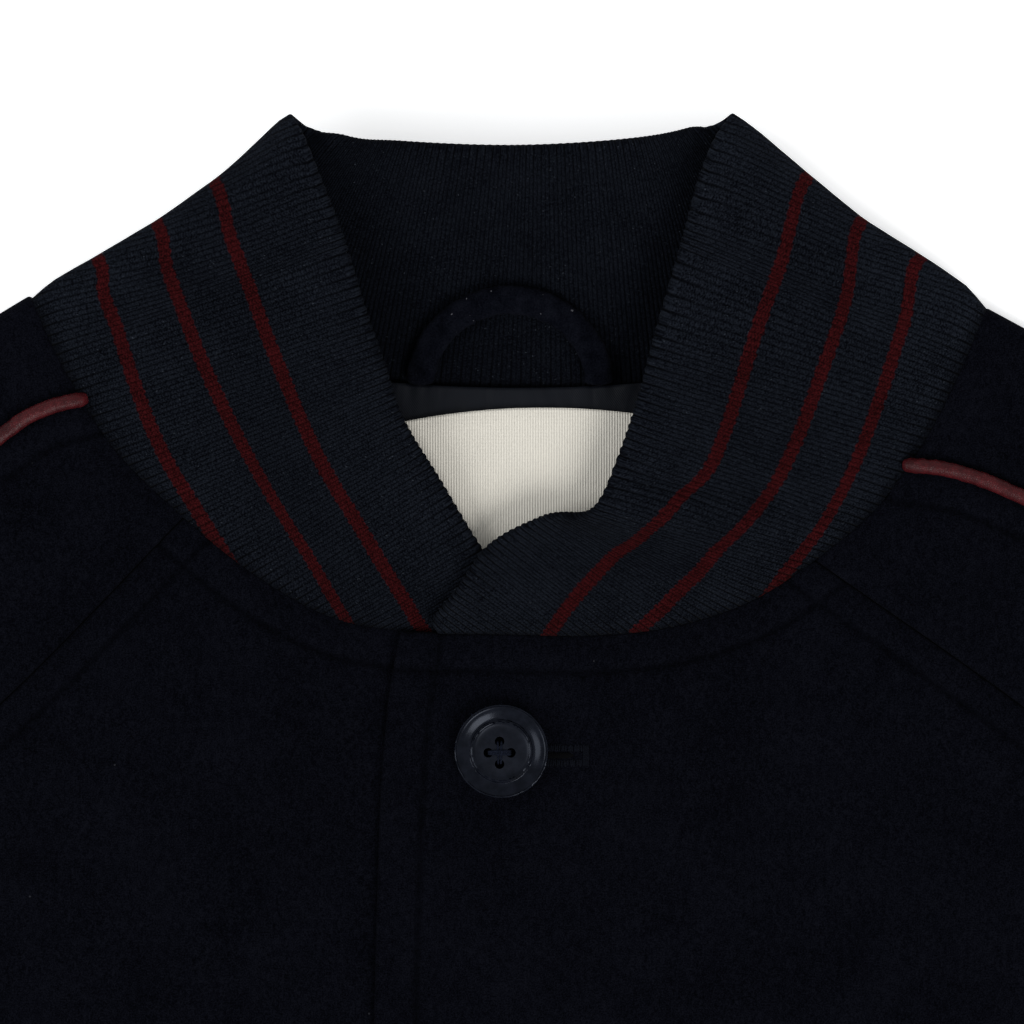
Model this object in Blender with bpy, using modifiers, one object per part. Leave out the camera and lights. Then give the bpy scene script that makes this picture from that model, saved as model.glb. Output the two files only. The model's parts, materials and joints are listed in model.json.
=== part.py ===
"""A varsity jacket laid flat on its back: melton body, raglan sleeves piped in leather, rib trim.

Sizes are in millimetres from the centre of the front neck seam: X to the wearer's left, Y towards
the collar, Z up from the surface that the jacket lies on. place_in_metres() moves them to the
part's own frame. Left and right are the wearer's.
"""

import math

import bmesh
import bpy
from mathutils import Matrix, Vector

# Cloth, as walls of these thicknesses
WOOL_WALL = 2.2
RIB_WALL = 2.6
LINING_WALL = 1.0
LABEL_WALL = 1.0
LOOP_WALL = 1.6
SEAM_GAP = 0.4
CLEAR = 0.3
COLLAR_GAP = 0.45

# Layers: the back lies on the surface and the front lies over it
LAYER_STEP = 4.0
LAP_STEP = 1.3
BACK_LEVEL = WOOL_WALL / 2
FRONT_LEVEL = BACK_LEVEL + LAYER_STEP
RIB_BACK_LEVEL = RIB_WALL / 2
RIB_FRONT_LEVEL = RIB_BACK_LEVEL + LAYER_STEP
ROLL = LAYER_STEP / 2
SEAM_DROP = 1.5
SEAM_DROP_REACH = 14.0

# Body and trim
HEM_SEAM_Y = -552.0
HEM_END_Y = -620.0
BODY_HALF_WIDTH = 256.0
HEM_HALF_WIDTH = 242.0
ARMPIT = (262.0, -215.0)
CUFF_LENGTH = 70.0
CUFF_SEAM_HALF = 60.0
CUFF_END_HALF = 48.0
UNDER_EDGE_X = 26.0
PIPING_RADIUS = 1.6
PIPING_STEPS = 24
LABEL_HALF_WIDTH = 33.0
LABEL_MIDDLE_X = 3.0
LABEL_HIGH_POINT = (8.0, 53.2)
LABEL_LENGTH = 35.0
LABEL_BOW = 0.003
LINING_HALF_WIDTH = 41.0
LINING_END_Y = 16.0
LOOP_HALF_SPAN = 21.3
LOOP_RISE = 20.3
LOOP_START_Y = 58.3
LOOP_WIDTH = 6.5
LOOP_LIFT = 2.0

# Buttons
BUTTON_COUNT = 6
BUTTON_PITCH = 98.0
FIRST_BUTTON_Y = -28.5
BUTTON_FROM_EDGE = 28.0
HOLE_RADIUS = 1.1
HOLE_FROM_CENTRE = 2.7
HOLE_COUNT = 4

# Segments of each panel: along the raglan or beside it, and below the armpit
RAGLAN_STEPS = 6
BELOW_STEPS = 8
ARM_STEPS = 7
FOLD_ANGLES = (0, 30, 60)

# The neck seam, in three runs: each front from the centre out to the shoulder fold, and the back
# from the right fold to the left one: (x, y)
NECK_RIGHT = ((28, 0), (0, 0), (-21.9, 0.2), (-40.4, 3.1), (-60, 13.5), (-77.2, 27.3),
              (-94.1, 44.2), (-105.7, 62.7), (-113.3, 79.1))
NECK_LEFT = ((-26, 0), (0, -0.3), (18.5, -0.6), (40, 1.8), (57.2, 7.6), (72.2, 17.2),
             (86.7, 29.5), (93.7, 38.4), (106.9, 62.7), (112.4, 76.2))
NECK_BACK = ((-113.3, 79.1), (-80, 67.5), (-40, 60), (0, 57.5), (40, 59.5), (80, 66.5), (112.4, 76.2))

# Where the other seams leave the neck seam, as shares of its run
RAGLAN_SHARE = {"right": 0.639, "left": 0.584}
PIPING_SHARE = {"right": 0.843, "left": 0.759}
BACK_RAGLAN_SHARE = {"right": 0.16, "left": 0.84}

# One half beyond the shoulder, as on the wearer's left: (x, y)
OVER_ARM = ((172, 44), (232, 12), (300, -31), (365, -83), (421, -147), (505, -299), (586, -450))
FRONT_RAGLAN = ((122, -18), (170, -57), (210, -108), (241, -165), ARMPIT)
BACK_RAGLAN = ((140, 20), (200, -60), (240, -140), ARMPIT)
UNDER_ARM = (ARMPIT, (325, -305), (398, -410), (472, -516))
SIDE_SEAM = ((BODY_HALF_WIDTH, HEM_SEAM_Y), (259, -380), ARMPIT)

# The piping, first where it leaves the neck, then as distances in from the over-arm fold
PIPING_FIRST = {"right": (-121.1, 46.0), "left": (122.0, 31.5)}
PIPING_BESIDE = ((0.25, 30.0), (0.4, 27.0), (0.55, 25.0), (0.7, 24.0), (0.85, 24.0), (1.0, 24.0))

# The front edge that laps over, from the neck seam down: (x, y)
LAP_EDGE = ((-26, 0), (-28, -10), (-30.4, -33), (-31.6, -65), (-33, -140), (-33, -300), (-33, HEM_SEAM_Y))

# The collar, a row for each rib line from the right end, which lies under, to the left end, which
# laps over: the run of the neck seam that the rib starts on, the share of that run, then the point
# where it meets the folded top edge: x, y and height
COLLAR_ROWS = (
    ("right", 0.074, 17.0, 1.4, 4.2),
    ("right", 0.147, 10.0, 3.2, 4.7),
    ("right", 0.260, 1.0, 10.5, 6.4),
    ("right", 0.371, -6.4, 20.0, 8.6),
    ("right", 0.496, -16.6, 36.8, 12.0),
    ("right", 0.618, -24.5, 49.9, 15.0),
    ("right", 0.755, -29.7, 64.8, 17.5),
    ("right", 0.852, -34.2, 77.9, 19.5),
    ("right", 0.932, -39.2, 93.8, 21.5),
    ("right", 0.968, -45.1, 109.2, 23.0),
    ("right", 0.988, -50.3, 120.8, 23.6),
    ("right", 1.000, -52.3, 122.8, 20.5),
    ("back", 0.012, -50.0, 121.2, 17.6),
    ("back", 0.100, -39.2, 117.6, 17.6),
    ("back", 0.280, -26.0, 116.2, 18.0),
    ("back", 0.500, 2.0, 115.2, 18.4),
    ("back", 0.720, 30.0, 117.0, 18.0),
    ("back", 0.900, 42.5, 119.4, 17.6),
    ("back", 0.988, 50.6, 121.4, 17.6),
    ("left", 1.000, 53.0, 122.6, 20.5),
    ("left", 0.988, 50.8, 120.4, 23.6),
    ("left", 0.962, 45.1, 109.3, 23.0),
    ("left", 0.940, 41.6, 96.9, 21.6),
    ("left", 0.900, 38.5, 86.2, 20.2),
    ("left", 0.847, 34.4, 72.2, 18.6),
    ("left", 0.749, 30.2, 56.5, 17.0),
    ("left", 0.650, 25.9, 43.2, 15.6),
    ("left", 0.572, 20.4, 30.6, 14.4),
    ("left", 0.409, 7.6, 27.6, 13.6),
    ("left", 0.269, -5.9, 20.2, 12.0),
    ("left", 0.163, -13.0, 10.2, 10.2),
    ("left", 0.050, -19.2, 2.6, 7.8),
)
COLLAR_STEPS_PER_ROW = 3
COLLAR_STEPS_UP = 4
COLLAR_CURL = 1.25
RIB_LAP_STEP = 1.45

# A button's face and back, from the centre of its face out and round: (radius, height)
BUTTON_PROFILE = ((0, 2.6), (5.2, 2.6), (6.2, 3.2), (8.4, 3.4), (9.2, 4.2), (10.6, 4.0),
                  (11.2, 2.6), (9.8, 0.5), (8.6, 0), (0, 0))
BUTTON_STEPS = 18
HOLE_STEPS = 6

# Places across the hem band, as on its seam, from the right front's edge to the left one's
BAND_RIGHT_FRONT = (26, 0, -36, -62, -120, -190)
BAND_BACK = (-170, -85, 0, 85, 170)
BAND_LEFT_FRONT = (190, 120, 56, 30, 0, -33)
BAND_STEPS = 2
CUFF_PLACES = (-0.6, -0.2, 0.2, 0.6)

COLOURS = {
    "wool": (0.0035, 0.0037, 0.0060),
    "rib": (0.0070, 0.0090, 0.0130),
    "leather": (0.095, 0.020, 0.022),
    "lining": (0.0075, 0.0090, 0.0125),
    "label": (0.62, 0.59, 0.52),
    "button": (0.012, 0.013, 0.020),
}
ROUGHNESS = {"wool": 0.95, "rib": 0.85, "leather": 0.42, "lining": 0.45, "label": 0.8, "button": 0.25}

TOP_Y = 123.58
MIDDLE_Y = (HEM_END_Y + TOP_Y) / 2


class Path:
    """A smooth curve through a few rows, followed by the distance along it."""

    def __init__(self, rows):
        self.rows = [Vector(row) for row in rows]
        self.marks = [0.0]
        for before, after in zip(self.rows, self.rows[1:]):
            self.marks.append(self.marks[-1] + (after - before).length)
        self.length = self.marks[-1]
        self.slopes = [self.slope_at(index) for index in range(len(self.rows))]

    def slope_at(self, index):
        """The curve's direction at a row, weighted to the nearer of its neighbours."""
        last = len(self.rows) - 1
        if index in (0, last):
            first = min(index, last - 1)
            return (self.rows[first + 1] - self.rows[first]) / (self.marks[first + 1] - self.marks[first])
        back = self.marks[index] - self.marks[index - 1]
        ahead = self.marks[index + 1] - self.marks[index]
        slope_back = (self.rows[index] - self.rows[index - 1]) / back
        slope_ahead = (self.rows[index + 1] - self.rows[index]) / ahead
        return (slope_back * ahead + slope_ahead * back) / (back + ahead)

    def between(self, index, t):
        """The point a share t of the way from one row to the next."""
        span = self.marks[index + 1] - self.marks[index]
        return (
            self.rows[index] * ((1 + 2 * t) * (1 - t) ** 2)
            + self.slopes[index] * (span * t * (1 - t) ** 2)
            + self.rows[index + 1] * (t * t * (3 - 2 * t))
            + self.slopes[index + 1] * (span * t * t * (t - 1))
        )

    def at(self, distance):
        """The point at a distance from the first row."""
        distance = min(max(distance, 0.0), self.length)
        index = 0
        while index < len(self.rows) - 2 and distance > self.marks[index + 1]:
            index += 1
        span = self.marks[index + 1] - self.marks[index]
        return self.between(index, (distance - self.marks[index]) / span)

    def stretch(self, start=0.0, end=1.0):
        """The part between two shares of the whole, as a function of 0 to 1."""
        return lambda t: self.at(self.length * (start + t * (end - start)))

    def beside(self, share, distance):
        """A point off to the right-hand side of the curve, seen along it."""
        ahead = self.at(self.length * min(share + 0.01, 1.0))
        behind = self.at(self.length * max(share - 0.01, 0.0))
        run = (ahead - behind).normalized()
        return self.at(self.length * share) + Vector((run.y, -run.x)) * distance


def chain(*stretches):
    """Stretches end to end, each with its number of steps, as one function of 0 to 1."""
    total = sum(steps for _, steps in stretches)

    def point(t):
        step = min(max(t, 0.0), 1.0) * total
        for stretch, steps in stretches[:-1]:
            if step <= steps:
                return stretch(step / steps)
            step -= steps
        stretch, steps = stretches[-1]
        return stretch(step / steps)

    return point


def straight(start, end):
    start, end = Vector(start), Vector(end)
    return lambda t: start.lerp(end, t)


def smooth(share):
    """A soft step from 0 to 1."""
    share = min(max(share, 0.0), 1.0)
    return share * share * (3 - 2 * share)


def panel(low, high, start, end, u, v, start_seam=True):
    """A point of the panel between four edges that meet at its corners, clear of its seams."""
    edge = SEAM_GAP / 2 / (high(0.5) - low(0.5)).length
    v = edge + v * (1 - 2 * edge)
    edge = SEAM_GAP / 2 / (end(v) - start(v)).length
    u = edge + u * (1 - 2 * edge) if start_seam else u * (1 - edge)
    across = start(v).lerp(end(v), u)
    along = low(u).lerp(high(u), v)
    corners = low(0).lerp(low(1), u).lerp(high(0).lerp(high(1), u), v)
    return across + along - corners


def rolled(depth):
    """How far a layer stands from the middle of a rolled fold, this deep inside its edge."""
    if depth >= ROLL:
        return ROLL
    return math.sqrt(max(ROLL**2 - (ROLL - depth) ** 2, 0.0))


def fold_depths():
    """Depths inside a rolled edge that give even steps round it, edge first."""
    return [ROLL * (1 - math.cos(math.radians(angle))) for angle in FOLD_ANGLES]


def lap_change(side, x, step):
    """How far a front is pressed under, or lifted over, the other near the centre."""
    if side == "right":
        return -step * smooth((x + 62) / 26)
    return step * smooth((56 - x) / 26)


def seam_drop(depth):
    """How far a top layer comes down towards its seam with the back, this deep inside it."""
    return SEAM_DROP * (1 - smooth(depth / SEAM_DROP_REACH))


def place_in_metres(x, y, z):
    """The point in the part's frame: metres, the origin under the middle of the laid jacket."""
    return Vector((x / 1000, (y - MIDDLE_Y) / 1000, z / 1000))


class Half:
    """The seams and outline of one half of the jacket."""

    def __init__(self, side):
        sign = 1 if side == "left" else -1
        self.side = side
        self.sign = sign
        self.neck = Path(NECK_LEFT if side == "left" else NECK_RIGHT)
        self.over = Path([self.neck.rows[-1]] + self.mirrored(OVER_ARM))
        self.under = Path(self.mirrored(UNDER_ARM))
        self.side_seam = Path(self.mirrored(SIDE_SEAM))
        raglan_top = self.neck.at(self.neck.length * RAGLAN_SHARE[side])
        self.front_raglan = Path([raglan_top] + self.mirrored(FRONT_RAGLAN))
        back_top = back_neck.at(back_neck.length * BACK_RAGLAN_SHARE[side])
        self.back_raglan = Path([back_top] + self.mirrored(BACK_RAGLAN))
        piping_top = self.neck.at(self.neck.length * PIPING_SHARE[side])
        beside = [self.over.beside(share, sign * distance) for share, distance in PIPING_BESIDE]
        self.piping = Path([piping_top, PIPING_FIRST[side]] + beside)

    def mirrored(self, rows):
        return [Vector((self.sign * x, y)) for x, y in rows]

    def sleeve_seam(self, raglan):
        """A sleeve panel's lower edge, from the neck down: raglan, then under the arm."""
        return chain((raglan.stretch(), RAGLAN_STEPS), (self.under.stretch(), ARM_STEPS))

    def body_seam(self, raglan):
        """A body panel's outer edge, from the hem up: side seam, then raglan."""
        return chain((self.side_seam.stretch(), BELOW_STEPS), (raglan.stretch(1, 0), RAGLAN_STEPS))


def finish(name):
    """The plain finish of one kind of material."""
    material = bpy.data.materials.get(name) or bpy.data.materials.new(name)
    material.use_nodes = True
    shader = material.node_tree.nodes["Principled BSDF"]
    shader.inputs["Base Color"].default_value = (*COLOURS[name], 1)
    shader.inputs["Roughness"].default_value = ROUGHNESS[name]
    shader.inputs["Metallic"].default_value = 0
    return material


def put(name, data, material):
    """An object for finished geometry, in the jacket's collection."""
    piece = bpy.data.objects.new(name, data)
    data.materials.append(finish(material))
    jacket.objects.link(piece)
    return piece


def cloth(name, across, along, point, wall, material, ring=False):
    """A wall round the open surface point(u, v), each from 0 to 1."""
    surface = bmesh.new()
    bmesh.ops.create_grid(surface, x_segments=across, y_segments=along, size=0.5)
    for vertex in surface.verts:
        u = round((vertex.co.x + 0.5) * across) / across
        v = round((vertex.co.y + 0.5) * along) / along
        vertex.co = place_in_metres(*point(u, v))
    if ring:
        bmesh.ops.remove_doubles(surface, verts=surface.verts, dist=0.00001)
    mesh = bpy.data.meshes.new(name)
    surface.to_mesh(mesh)
    surface.free()
    mesh.shade_smooth()
    piece = put(name, mesh, material)
    solid = piece.modifiers.new("Wall", "SOLIDIFY")
    solid.thickness = wall / 1000
    solid.offset = 0
    return piece


def make_front(half, edge, neck_start):
    """A front, from its centre edge out to the side seam and raglan, hem to neck."""
    outer = half.body_seam(half.front_raglan)
    neck = half.neck.stretch(neck_start, RAGLAN_SHARE[half.side])
    hem = straight(edge(0), outer(0))
    armpit = BELOW_STEPS / (BELOW_STEPS + RAGLAN_STEPS)

    def point(u, v):
        place = panel(hem, neck, edge, outer, u, v)
        below_arm = 1 - smooth((v - armpit) / (1 - armpit) * 3)
        drop = seam_drop((outer(v) - place).length) * below_arm
        return (*place, FRONT_LEVEL + lap_change(half.side, place.x, LAP_STEP) - drop)

    cloth("front_" + half.side, 8, BELOW_STEPS + RAGLAN_STEPS, point, WOOL_WALL, "wool")


def make_back(right, left):
    right_seam = right.body_seam(right.back_raglan)
    left_seam = left.body_seam(left.back_raglan)
    neck = back_neck.stretch(BACK_RAGLAN_SHARE["right"], BACK_RAGLAN_SHARE["left"])
    hem = straight(right_seam(0), left_seam(0))

    def point(u, v):
        return (*panel(hem, neck, right_seam, left_seam, u, v), BACK_LEVEL)

    cloth("back", 12, BELOW_STEPS + RAGLAN_STEPS, point, WOOL_WALL, "wool")


def make_sleeve_front(half):
    """The sleeve between the piping and the front raglan or the under-arm seam."""
    piping = half.piping.stretch()
    seam = half.sleeve_seam(half.front_raglan)
    neck = half.neck.stretch(PIPING_SHARE[half.side], RAGLAN_SHARE[half.side])
    cuff = straight(piping(1), seam(1))
    armpit = RAGLAN_STEPS / (RAGLAN_STEPS + ARM_STEPS)

    def point(u, v):
        place = panel(neck, cuff, piping, seam, u, v)
        below_arm = smooth((v - armpit) / armpit * 3 + 1)
        return (*place, FRONT_LEVEL - seam_drop((seam(v) - place).length) * below_arm)

    cloth("sleeve_front_" + half.side, 6, RAGLAN_STEPS + ARM_STEPS, point, WOOL_WALL, "wool")


def make_sleeve_back(half):
    """The sleeve from the piping over the shoulder fold, and under to the back raglan."""
    fold = half.over.stretch()
    piping = half.piping.stretch()
    seam = half.sleeve_seam(half.back_raglan)
    corner = 0 if half.side == "right" else 1
    neck_over = half.neck.stretch(1, PIPING_SHARE[half.side])
    neck_under = back_neck.stretch(corner, BACK_RAGLAN_SHARE[half.side])
    cuff_over = straight(fold(1), piping(1))
    cuff_under = straight(fold(1), seam(1))
    middle = (FRONT_LEVEL + BACK_LEVEL) / 2
    depths = fold_depths()
    columns = [(1, share) for share in (1, 0.5)] + [(1, -depth) for depth in reversed(depths)]
    columns += [(-1, -depth) for depth in depths[1:]] + [(-1, share) for share in (0.15, 0.35, 0.55, 0.78, 1)]

    def point(u, v):
        layer, across = columns[round(u * (len(columns) - 1))]
        neck, cuff, edge = (neck_over, cuff_over, piping) if layer > 0 else (neck_under, cuff_under, seam)
        share = across if across > 0 else -across / (edge(v) - fold(v)).length
        place = panel(neck, cuff, fold, edge, share, v, start_seam=False)
        depth = -across if across <= 0 else ROLL
        return (*place, middle + layer * rolled(depth))

    cloth("sleeve_back_" + half.side, len(columns) - 1, RAGLAN_STEPS + ARM_STEPS, point, WOOL_WALL, "wool")


def make_piping(half):
    """A leather cord that stands on the seam between the sleeve's two halves."""
    level = FRONT_LEVEL + WOOL_WALL / 2 + CLEAR + PIPING_RADIUS
    line = half.piping.stretch(0.004, 0.998)
    cord = bpy.data.curves.new("piping_" + half.side, "CURVE")
    cord.dimensions = "3D"
    cord.bevel_depth = PIPING_RADIUS / 1000
    cord.bevel_resolution = 2
    cord.use_fill_caps = True
    route = cord.splines.new("POLY")
    route.points.add(PIPING_STEPS)
    for index, knot in enumerate(route.points):
        place = line(index / PIPING_STEPS)
        knot.co = (*place_in_metres(*place, level), 1)
    put("piping_" + half.side, cord, "leather")


def band_level(layer, depth, side, x):
    """The middle of a rib band's wall, round its folds and over or under the other end."""
    level = (RIB_FRONT_LEVEL + RIB_BACK_LEVEL) / 2 + layer * rolled(depth)
    return level + (lap_change(side, x, RIB_LAP_STEP) if side else 0)


def make_hem_band():
    """One doubled band of rib round the hem, open in front."""
    folds = [BODY_HALF_WIDTH - depth for depth in fold_depths()]
    columns = [("right", 1, x) for x in (*BAND_RIGHT_FRONT, *(-x for x in reversed(folds)))]
    columns += [(None, -1, x) for x in (*(-x for x in folds[1:]), *BAND_BACK, *reversed(folds))]
    columns += [("left", 1, x) for x in (*folds[1:], *BAND_LEFT_FRONT)]

    def point(u, v):
        side, layer, seam_x = columns[round(u * (len(columns) - 1))]
        half_width = BODY_HALF_WIDTH + (HEM_HALF_WIDTH - BODY_HALF_WIDTH) * v
        depth = BODY_HALF_WIDTH - abs(seam_x)
        if depth <= ROLL:
            x = math.copysign(half_width - depth, seam_x)
        else:
            x = seam_x * half_width / BODY_HALF_WIDTH
        y = HEM_SEAM_Y - SEAM_GAP / 2 + (HEM_END_Y - HEM_SEAM_Y + SEAM_GAP / 2) * v
        return (x, y, band_level(layer, depth, side, x))

    cloth("hem_band", len(columns) - 1, BAND_STEPS, point, RIB_WALL, "rib")


def make_cuff(half):
    """A doubled band of rib round the sleeve's end."""
    over = half.over.rows[-1]
    under = half.under.rows[-1]
    across = (over - under).normalized()
    down = Vector((across.y, -across.x)) * half.sign
    centre = (over + under) / 2
    folds = fold_depths()
    top = [(1, 1, depth) for depth in folds] + [(1, share, None) for share in reversed(CUFF_PLACES)]
    top += [(1, -1, depth) for depth in reversed(folds)]
    bottom = [(-1, -1, depth) for depth in folds[1:]] + [(-1, share, None) for share in CUFF_PLACES]
    bottom += [(-1, 1, depth) for depth in reversed(folds)]
    columns = top + bottom

    def point(u, v):
        layer, share, depth = columns[round(u * (len(columns) - 1))]
        half_width = CUFF_SEAM_HALF + (CUFF_END_HALF - CUFF_SEAM_HALF) * v
        offset = share * half_width if depth is None else share * (half_width - depth)
        along = SEAM_GAP / 2 + (CUFF_LENGTH - SEAM_GAP / 2) * v
        place = centre + across * offset + down * along
        return (*place, band_level(layer, ROLL if depth is None else depth, None, 0))

    cloth("cuff_" + half.side, len(columns) - 1, BAND_STEPS, point, RIB_WALL, "rib", ring=True)


def make_collar(right, left):
    """The rib band that stands on the neck seam, tapered into it at both ends."""
    runs = {"right": (0, right.neck), "back": (right.neck.length, back_neck)}
    runs["left"] = (right.neck.length + back_neck.length, left.neck)
    corners = (runs["back"][0], runs["left"][0])

    def seam_distance(run, share):
        start, path = runs[run]
        return start + path.length * (1 - share if run == "left" else share)

    def seam_point(distance):
        if distance < corners[0]:
            return right.neck.at(distance)
        if distance < corners[1]:
            return back_neck.at(distance - corners[0])
        return left.neck.at(left.neck.length - (distance - corners[1]))

    rows = Path([(seam_distance(run, share), *top) for run, share, *top in COLLAR_ROWS])
    spans = len(COLLAR_ROWS) - 1
    steps = spans * COLLAR_STEPS_PER_ROW

    def point(u, v):
        step = round(u * steps)
        index = min(step // COLLAR_STEPS_PER_ROW, spans - 1)
        distance, *top = rows.between(index, step / COLLAR_STEPS_PER_ROW - index)
        low = seam_point(distance)
        if distance < corners[0]:
            layer, side = 1, "right"
        elif distance > corners[1]:
            layer, side = 1, "left"
        else:
            layer, side = -1, None
        depth = min(abs(distance - corner) for corner in corners)
        high = Vector(top[:2])
        rib = (high - low).normalized()
        seam = (seam_point(distance + 0.5) - seam_point(distance - 0.5)).normalized()
        slant = abs(rib.cross(seam)) if depth > 1 else 1
        low = low + rib * (COLLAR_GAP / slant)
        low_level = band_level(layer, depth, side, low.x)
        level = low_level + (top[2] - low_level) * v**COLLAR_CURL
        return (*low.lerp(high, v), level)

    cloth("collar", steps, COLLAR_STEPS_UP, point, RIB_WALL, "rib")


def make_neck_lining():
    """The lining that shows inside the neck, lying on the back."""
    level = WOOL_WALL + CLEAR + LINING_WALL / 2
    low = straight((-LINING_HALF_WIDTH, LINING_END_Y), (LINING_HALF_WIDTH, LINING_END_Y))
    middle = 0.5
    reach = LINING_HALF_WIDTH / back_neck.length
    seam = back_neck.stretch(middle - reach, middle + reach)

    def point(u, v):
        top = seam(u) - Vector((0, 2 * SEAM_GAP))
        return (*low(u).lerp(top, v), level)

    cloth("neck_lining", 6, 3, point, LINING_WALL, "lining")


def make_label():
    """A bare woven label on the lining, its edges bowed with the neck."""
    level = WOOL_WALL + 2 * CLEAR + LINING_WALL + LABEL_WALL / 2

    def point(u, v):
        x = LABEL_MIDDLE_X + (2 * u - 1) * LABEL_HALF_WIDTH
        high_x, high_y = LABEL_HIGH_POINT
        y = high_y - LABEL_BOW * (x - high_x) ** 2 - LABEL_LENGTH * (1 - v)
        return (x, y, level)

    cloth("label", 6, 2, point, LABEL_WALL, "label")


def make_hanger_loop():
    """A flat loop of the lining's cloth, arched over the inside of the collar."""
    collar_top = COLLAR_ROWS[len(COLLAR_ROWS) // 2 - 1]
    rise = collar_top[4] - RIB_BACK_LEVEL
    reach = collar_top[3] - back_neck.at(back_neck.length / 2).y

    def point(u, v):
        angle = math.pi * (1 - u)
        out = 1 + (v - 0.5) * LOOP_WIDTH / LOOP_HALF_SPAN
        x = LOOP_HALF_SPAN * math.cos(angle) * out
        y = LOOP_START_Y + LOOP_RISE * math.sin(angle) * out
        share = max(y - back_neck.at(back_neck.length / 2).y, 0) / reach
        collar_level = RIB_BACK_LEVEL + rise * share**COLLAR_CURL
        lift = LOOP_LIFT * math.sin(angle)
        return (x, y, collar_level + (RIB_WALL + LOOP_WALL) / 2 + CLEAR + lift)

    cloth("hanger_loop", 18, 1, point, LOOP_WALL, "lining")


def make_holes(name, centre):
    """Four pins through a button, which cut its holes."""
    pins = bmesh.new()
    for index in range(HOLE_COUNT):
        angle = 2 * math.pi * index / HOLE_COUNT
        x = centre.x + HOLE_FROM_CENTRE / 1000 * math.cos(angle)
        y = centre.y + HOLE_FROM_CENTRE / 1000 * math.sin(angle)
        bmesh.ops.create_cone(
            pins,
            cap_ends=True,
            segments=HOLE_STEPS,
            radius1=HOLE_RADIUS / 1000,
            radius2=HOLE_RADIUS / 1000,
            depth=0.02,
            matrix=Matrix.Translation((x, y, centre.z)),
        )
    mesh = bpy.data.meshes.new(name)
    pins.to_mesh(mesh)
    pins.free()
    cutter = bpy.data.objects.new(name, mesh)
    cutter.hide_render = True
    cutter.display_type = "WIRE"
    cutters.objects.link(cutter)
    return cutter


def make_button(number):
    """A four-hole coat button that lies on the front that laps over."""
    y = FIRST_BUTTON_Y - BUTTON_PITCH * (number - 1)
    edge_x = lap_edge.at(-y).x
    level = FRONT_LEVEL + LAP_STEP + WOOL_WALL / 2 + CLEAR
    centre = place_in_metres(edge_x + BUTTON_FROM_EDGE, y, level)
    name = f"button_{number}"
    outline = bmesh.new()
    corners = [outline.verts.new((radius / 1000, 0, height / 1000)) for radius, height in BUTTON_PROFILE]
    for before, after in zip(corners, corners[1:]):
        outline.edges.new((before, after))
    mesh = bpy.data.meshes.new(name)
    outline.to_mesh(mesh)
    outline.free()
    button = put(name, mesh, "button")
    button.location = centre
    turn = button.modifiers.new("Turn", "SCREW")
    turn.steps = BUTTON_STEPS
    turn.render_steps = BUTTON_STEPS
    turn.use_merge_vertices = True
    turn.merge_threshold = 0.00001
    turn.use_smooth_shade = True
    holes = button.modifiers.new("Holes", "BOOLEAN")
    holes.object = make_holes(name + "_holes", centre)


for old in list(bpy.data.objects):
    bpy.data.objects.remove(old)
jacket = bpy.data.collections.new("varsity_jacket")
cutters = bpy.data.collections.new("cutters")
for collection in (jacket, cutters):
    bpy.context.scene.collection.children.link(collection)

back_neck = Path(NECK_BACK)
lap_edge = Path(LAP_EDGE)
right_half = Half("right")
left_half = Half("left")
under_edge = straight((UNDER_EDGE_X, HEM_SEAM_Y), (UNDER_EDGE_X, 0))
make_back(right_half, left_half)
make_front(right_half, under_edge, (NECK_RIGHT[0][0] - UNDER_EDGE_X) / right_half.neck.length)
make_front(left_half, lap_edge.stretch(1, 0), 0)
for jacket_half in (right_half, left_half):
    make_sleeve_front(jacket_half)
    make_sleeve_back(jacket_half)
    make_piping(jacket_half)
    make_cuff(jacket_half)
make_collar(right_half, left_half)
make_hem_band()
make_neck_lining()
make_label()
make_hanger_loop()
for button_number in range(1, BUTTON_COUNT + 1):
    make_button(button_number)
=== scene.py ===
"""The looks of a varsity jacket that lies flat on its back, in the frame of its CAD model.

Sizes are in millimetres from the centre of the front neck seam: X to the wearer's left, Y towards
the collar, Z up from the surface. place() moves them to the frame. Left and right are the wearer's.
"""

import json
import math

import bmesh
import bpy
import numpy as np
from mathutils import Matrix, Vector, noise

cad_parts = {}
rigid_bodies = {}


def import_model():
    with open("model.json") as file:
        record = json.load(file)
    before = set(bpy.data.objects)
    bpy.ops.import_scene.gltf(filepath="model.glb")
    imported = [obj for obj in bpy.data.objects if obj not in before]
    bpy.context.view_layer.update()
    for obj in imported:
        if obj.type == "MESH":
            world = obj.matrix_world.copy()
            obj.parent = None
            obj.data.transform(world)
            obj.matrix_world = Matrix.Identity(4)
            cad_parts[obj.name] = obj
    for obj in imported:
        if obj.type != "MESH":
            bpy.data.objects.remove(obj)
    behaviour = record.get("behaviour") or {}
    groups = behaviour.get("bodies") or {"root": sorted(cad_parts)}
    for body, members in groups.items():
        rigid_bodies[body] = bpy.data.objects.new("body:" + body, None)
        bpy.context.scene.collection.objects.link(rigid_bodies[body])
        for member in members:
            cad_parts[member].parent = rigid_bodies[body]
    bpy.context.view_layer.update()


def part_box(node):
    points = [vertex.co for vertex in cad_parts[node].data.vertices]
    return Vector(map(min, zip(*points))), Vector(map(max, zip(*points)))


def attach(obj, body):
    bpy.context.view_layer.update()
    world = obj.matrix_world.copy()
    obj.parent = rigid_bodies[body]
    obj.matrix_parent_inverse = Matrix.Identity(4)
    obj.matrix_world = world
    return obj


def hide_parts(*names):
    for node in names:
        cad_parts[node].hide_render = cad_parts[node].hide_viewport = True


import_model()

# Cloth and layers, as in the frame
WOOL_WALL = 2.2
RIB_WALL = 2.6
LINING_WALL = 1.0
SEAM_GAP = 0.08
CLEAR = 0.3
TUCK = 0.3
LAYER_STEP = 4.0
LAP_STEP = 1.3
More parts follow.
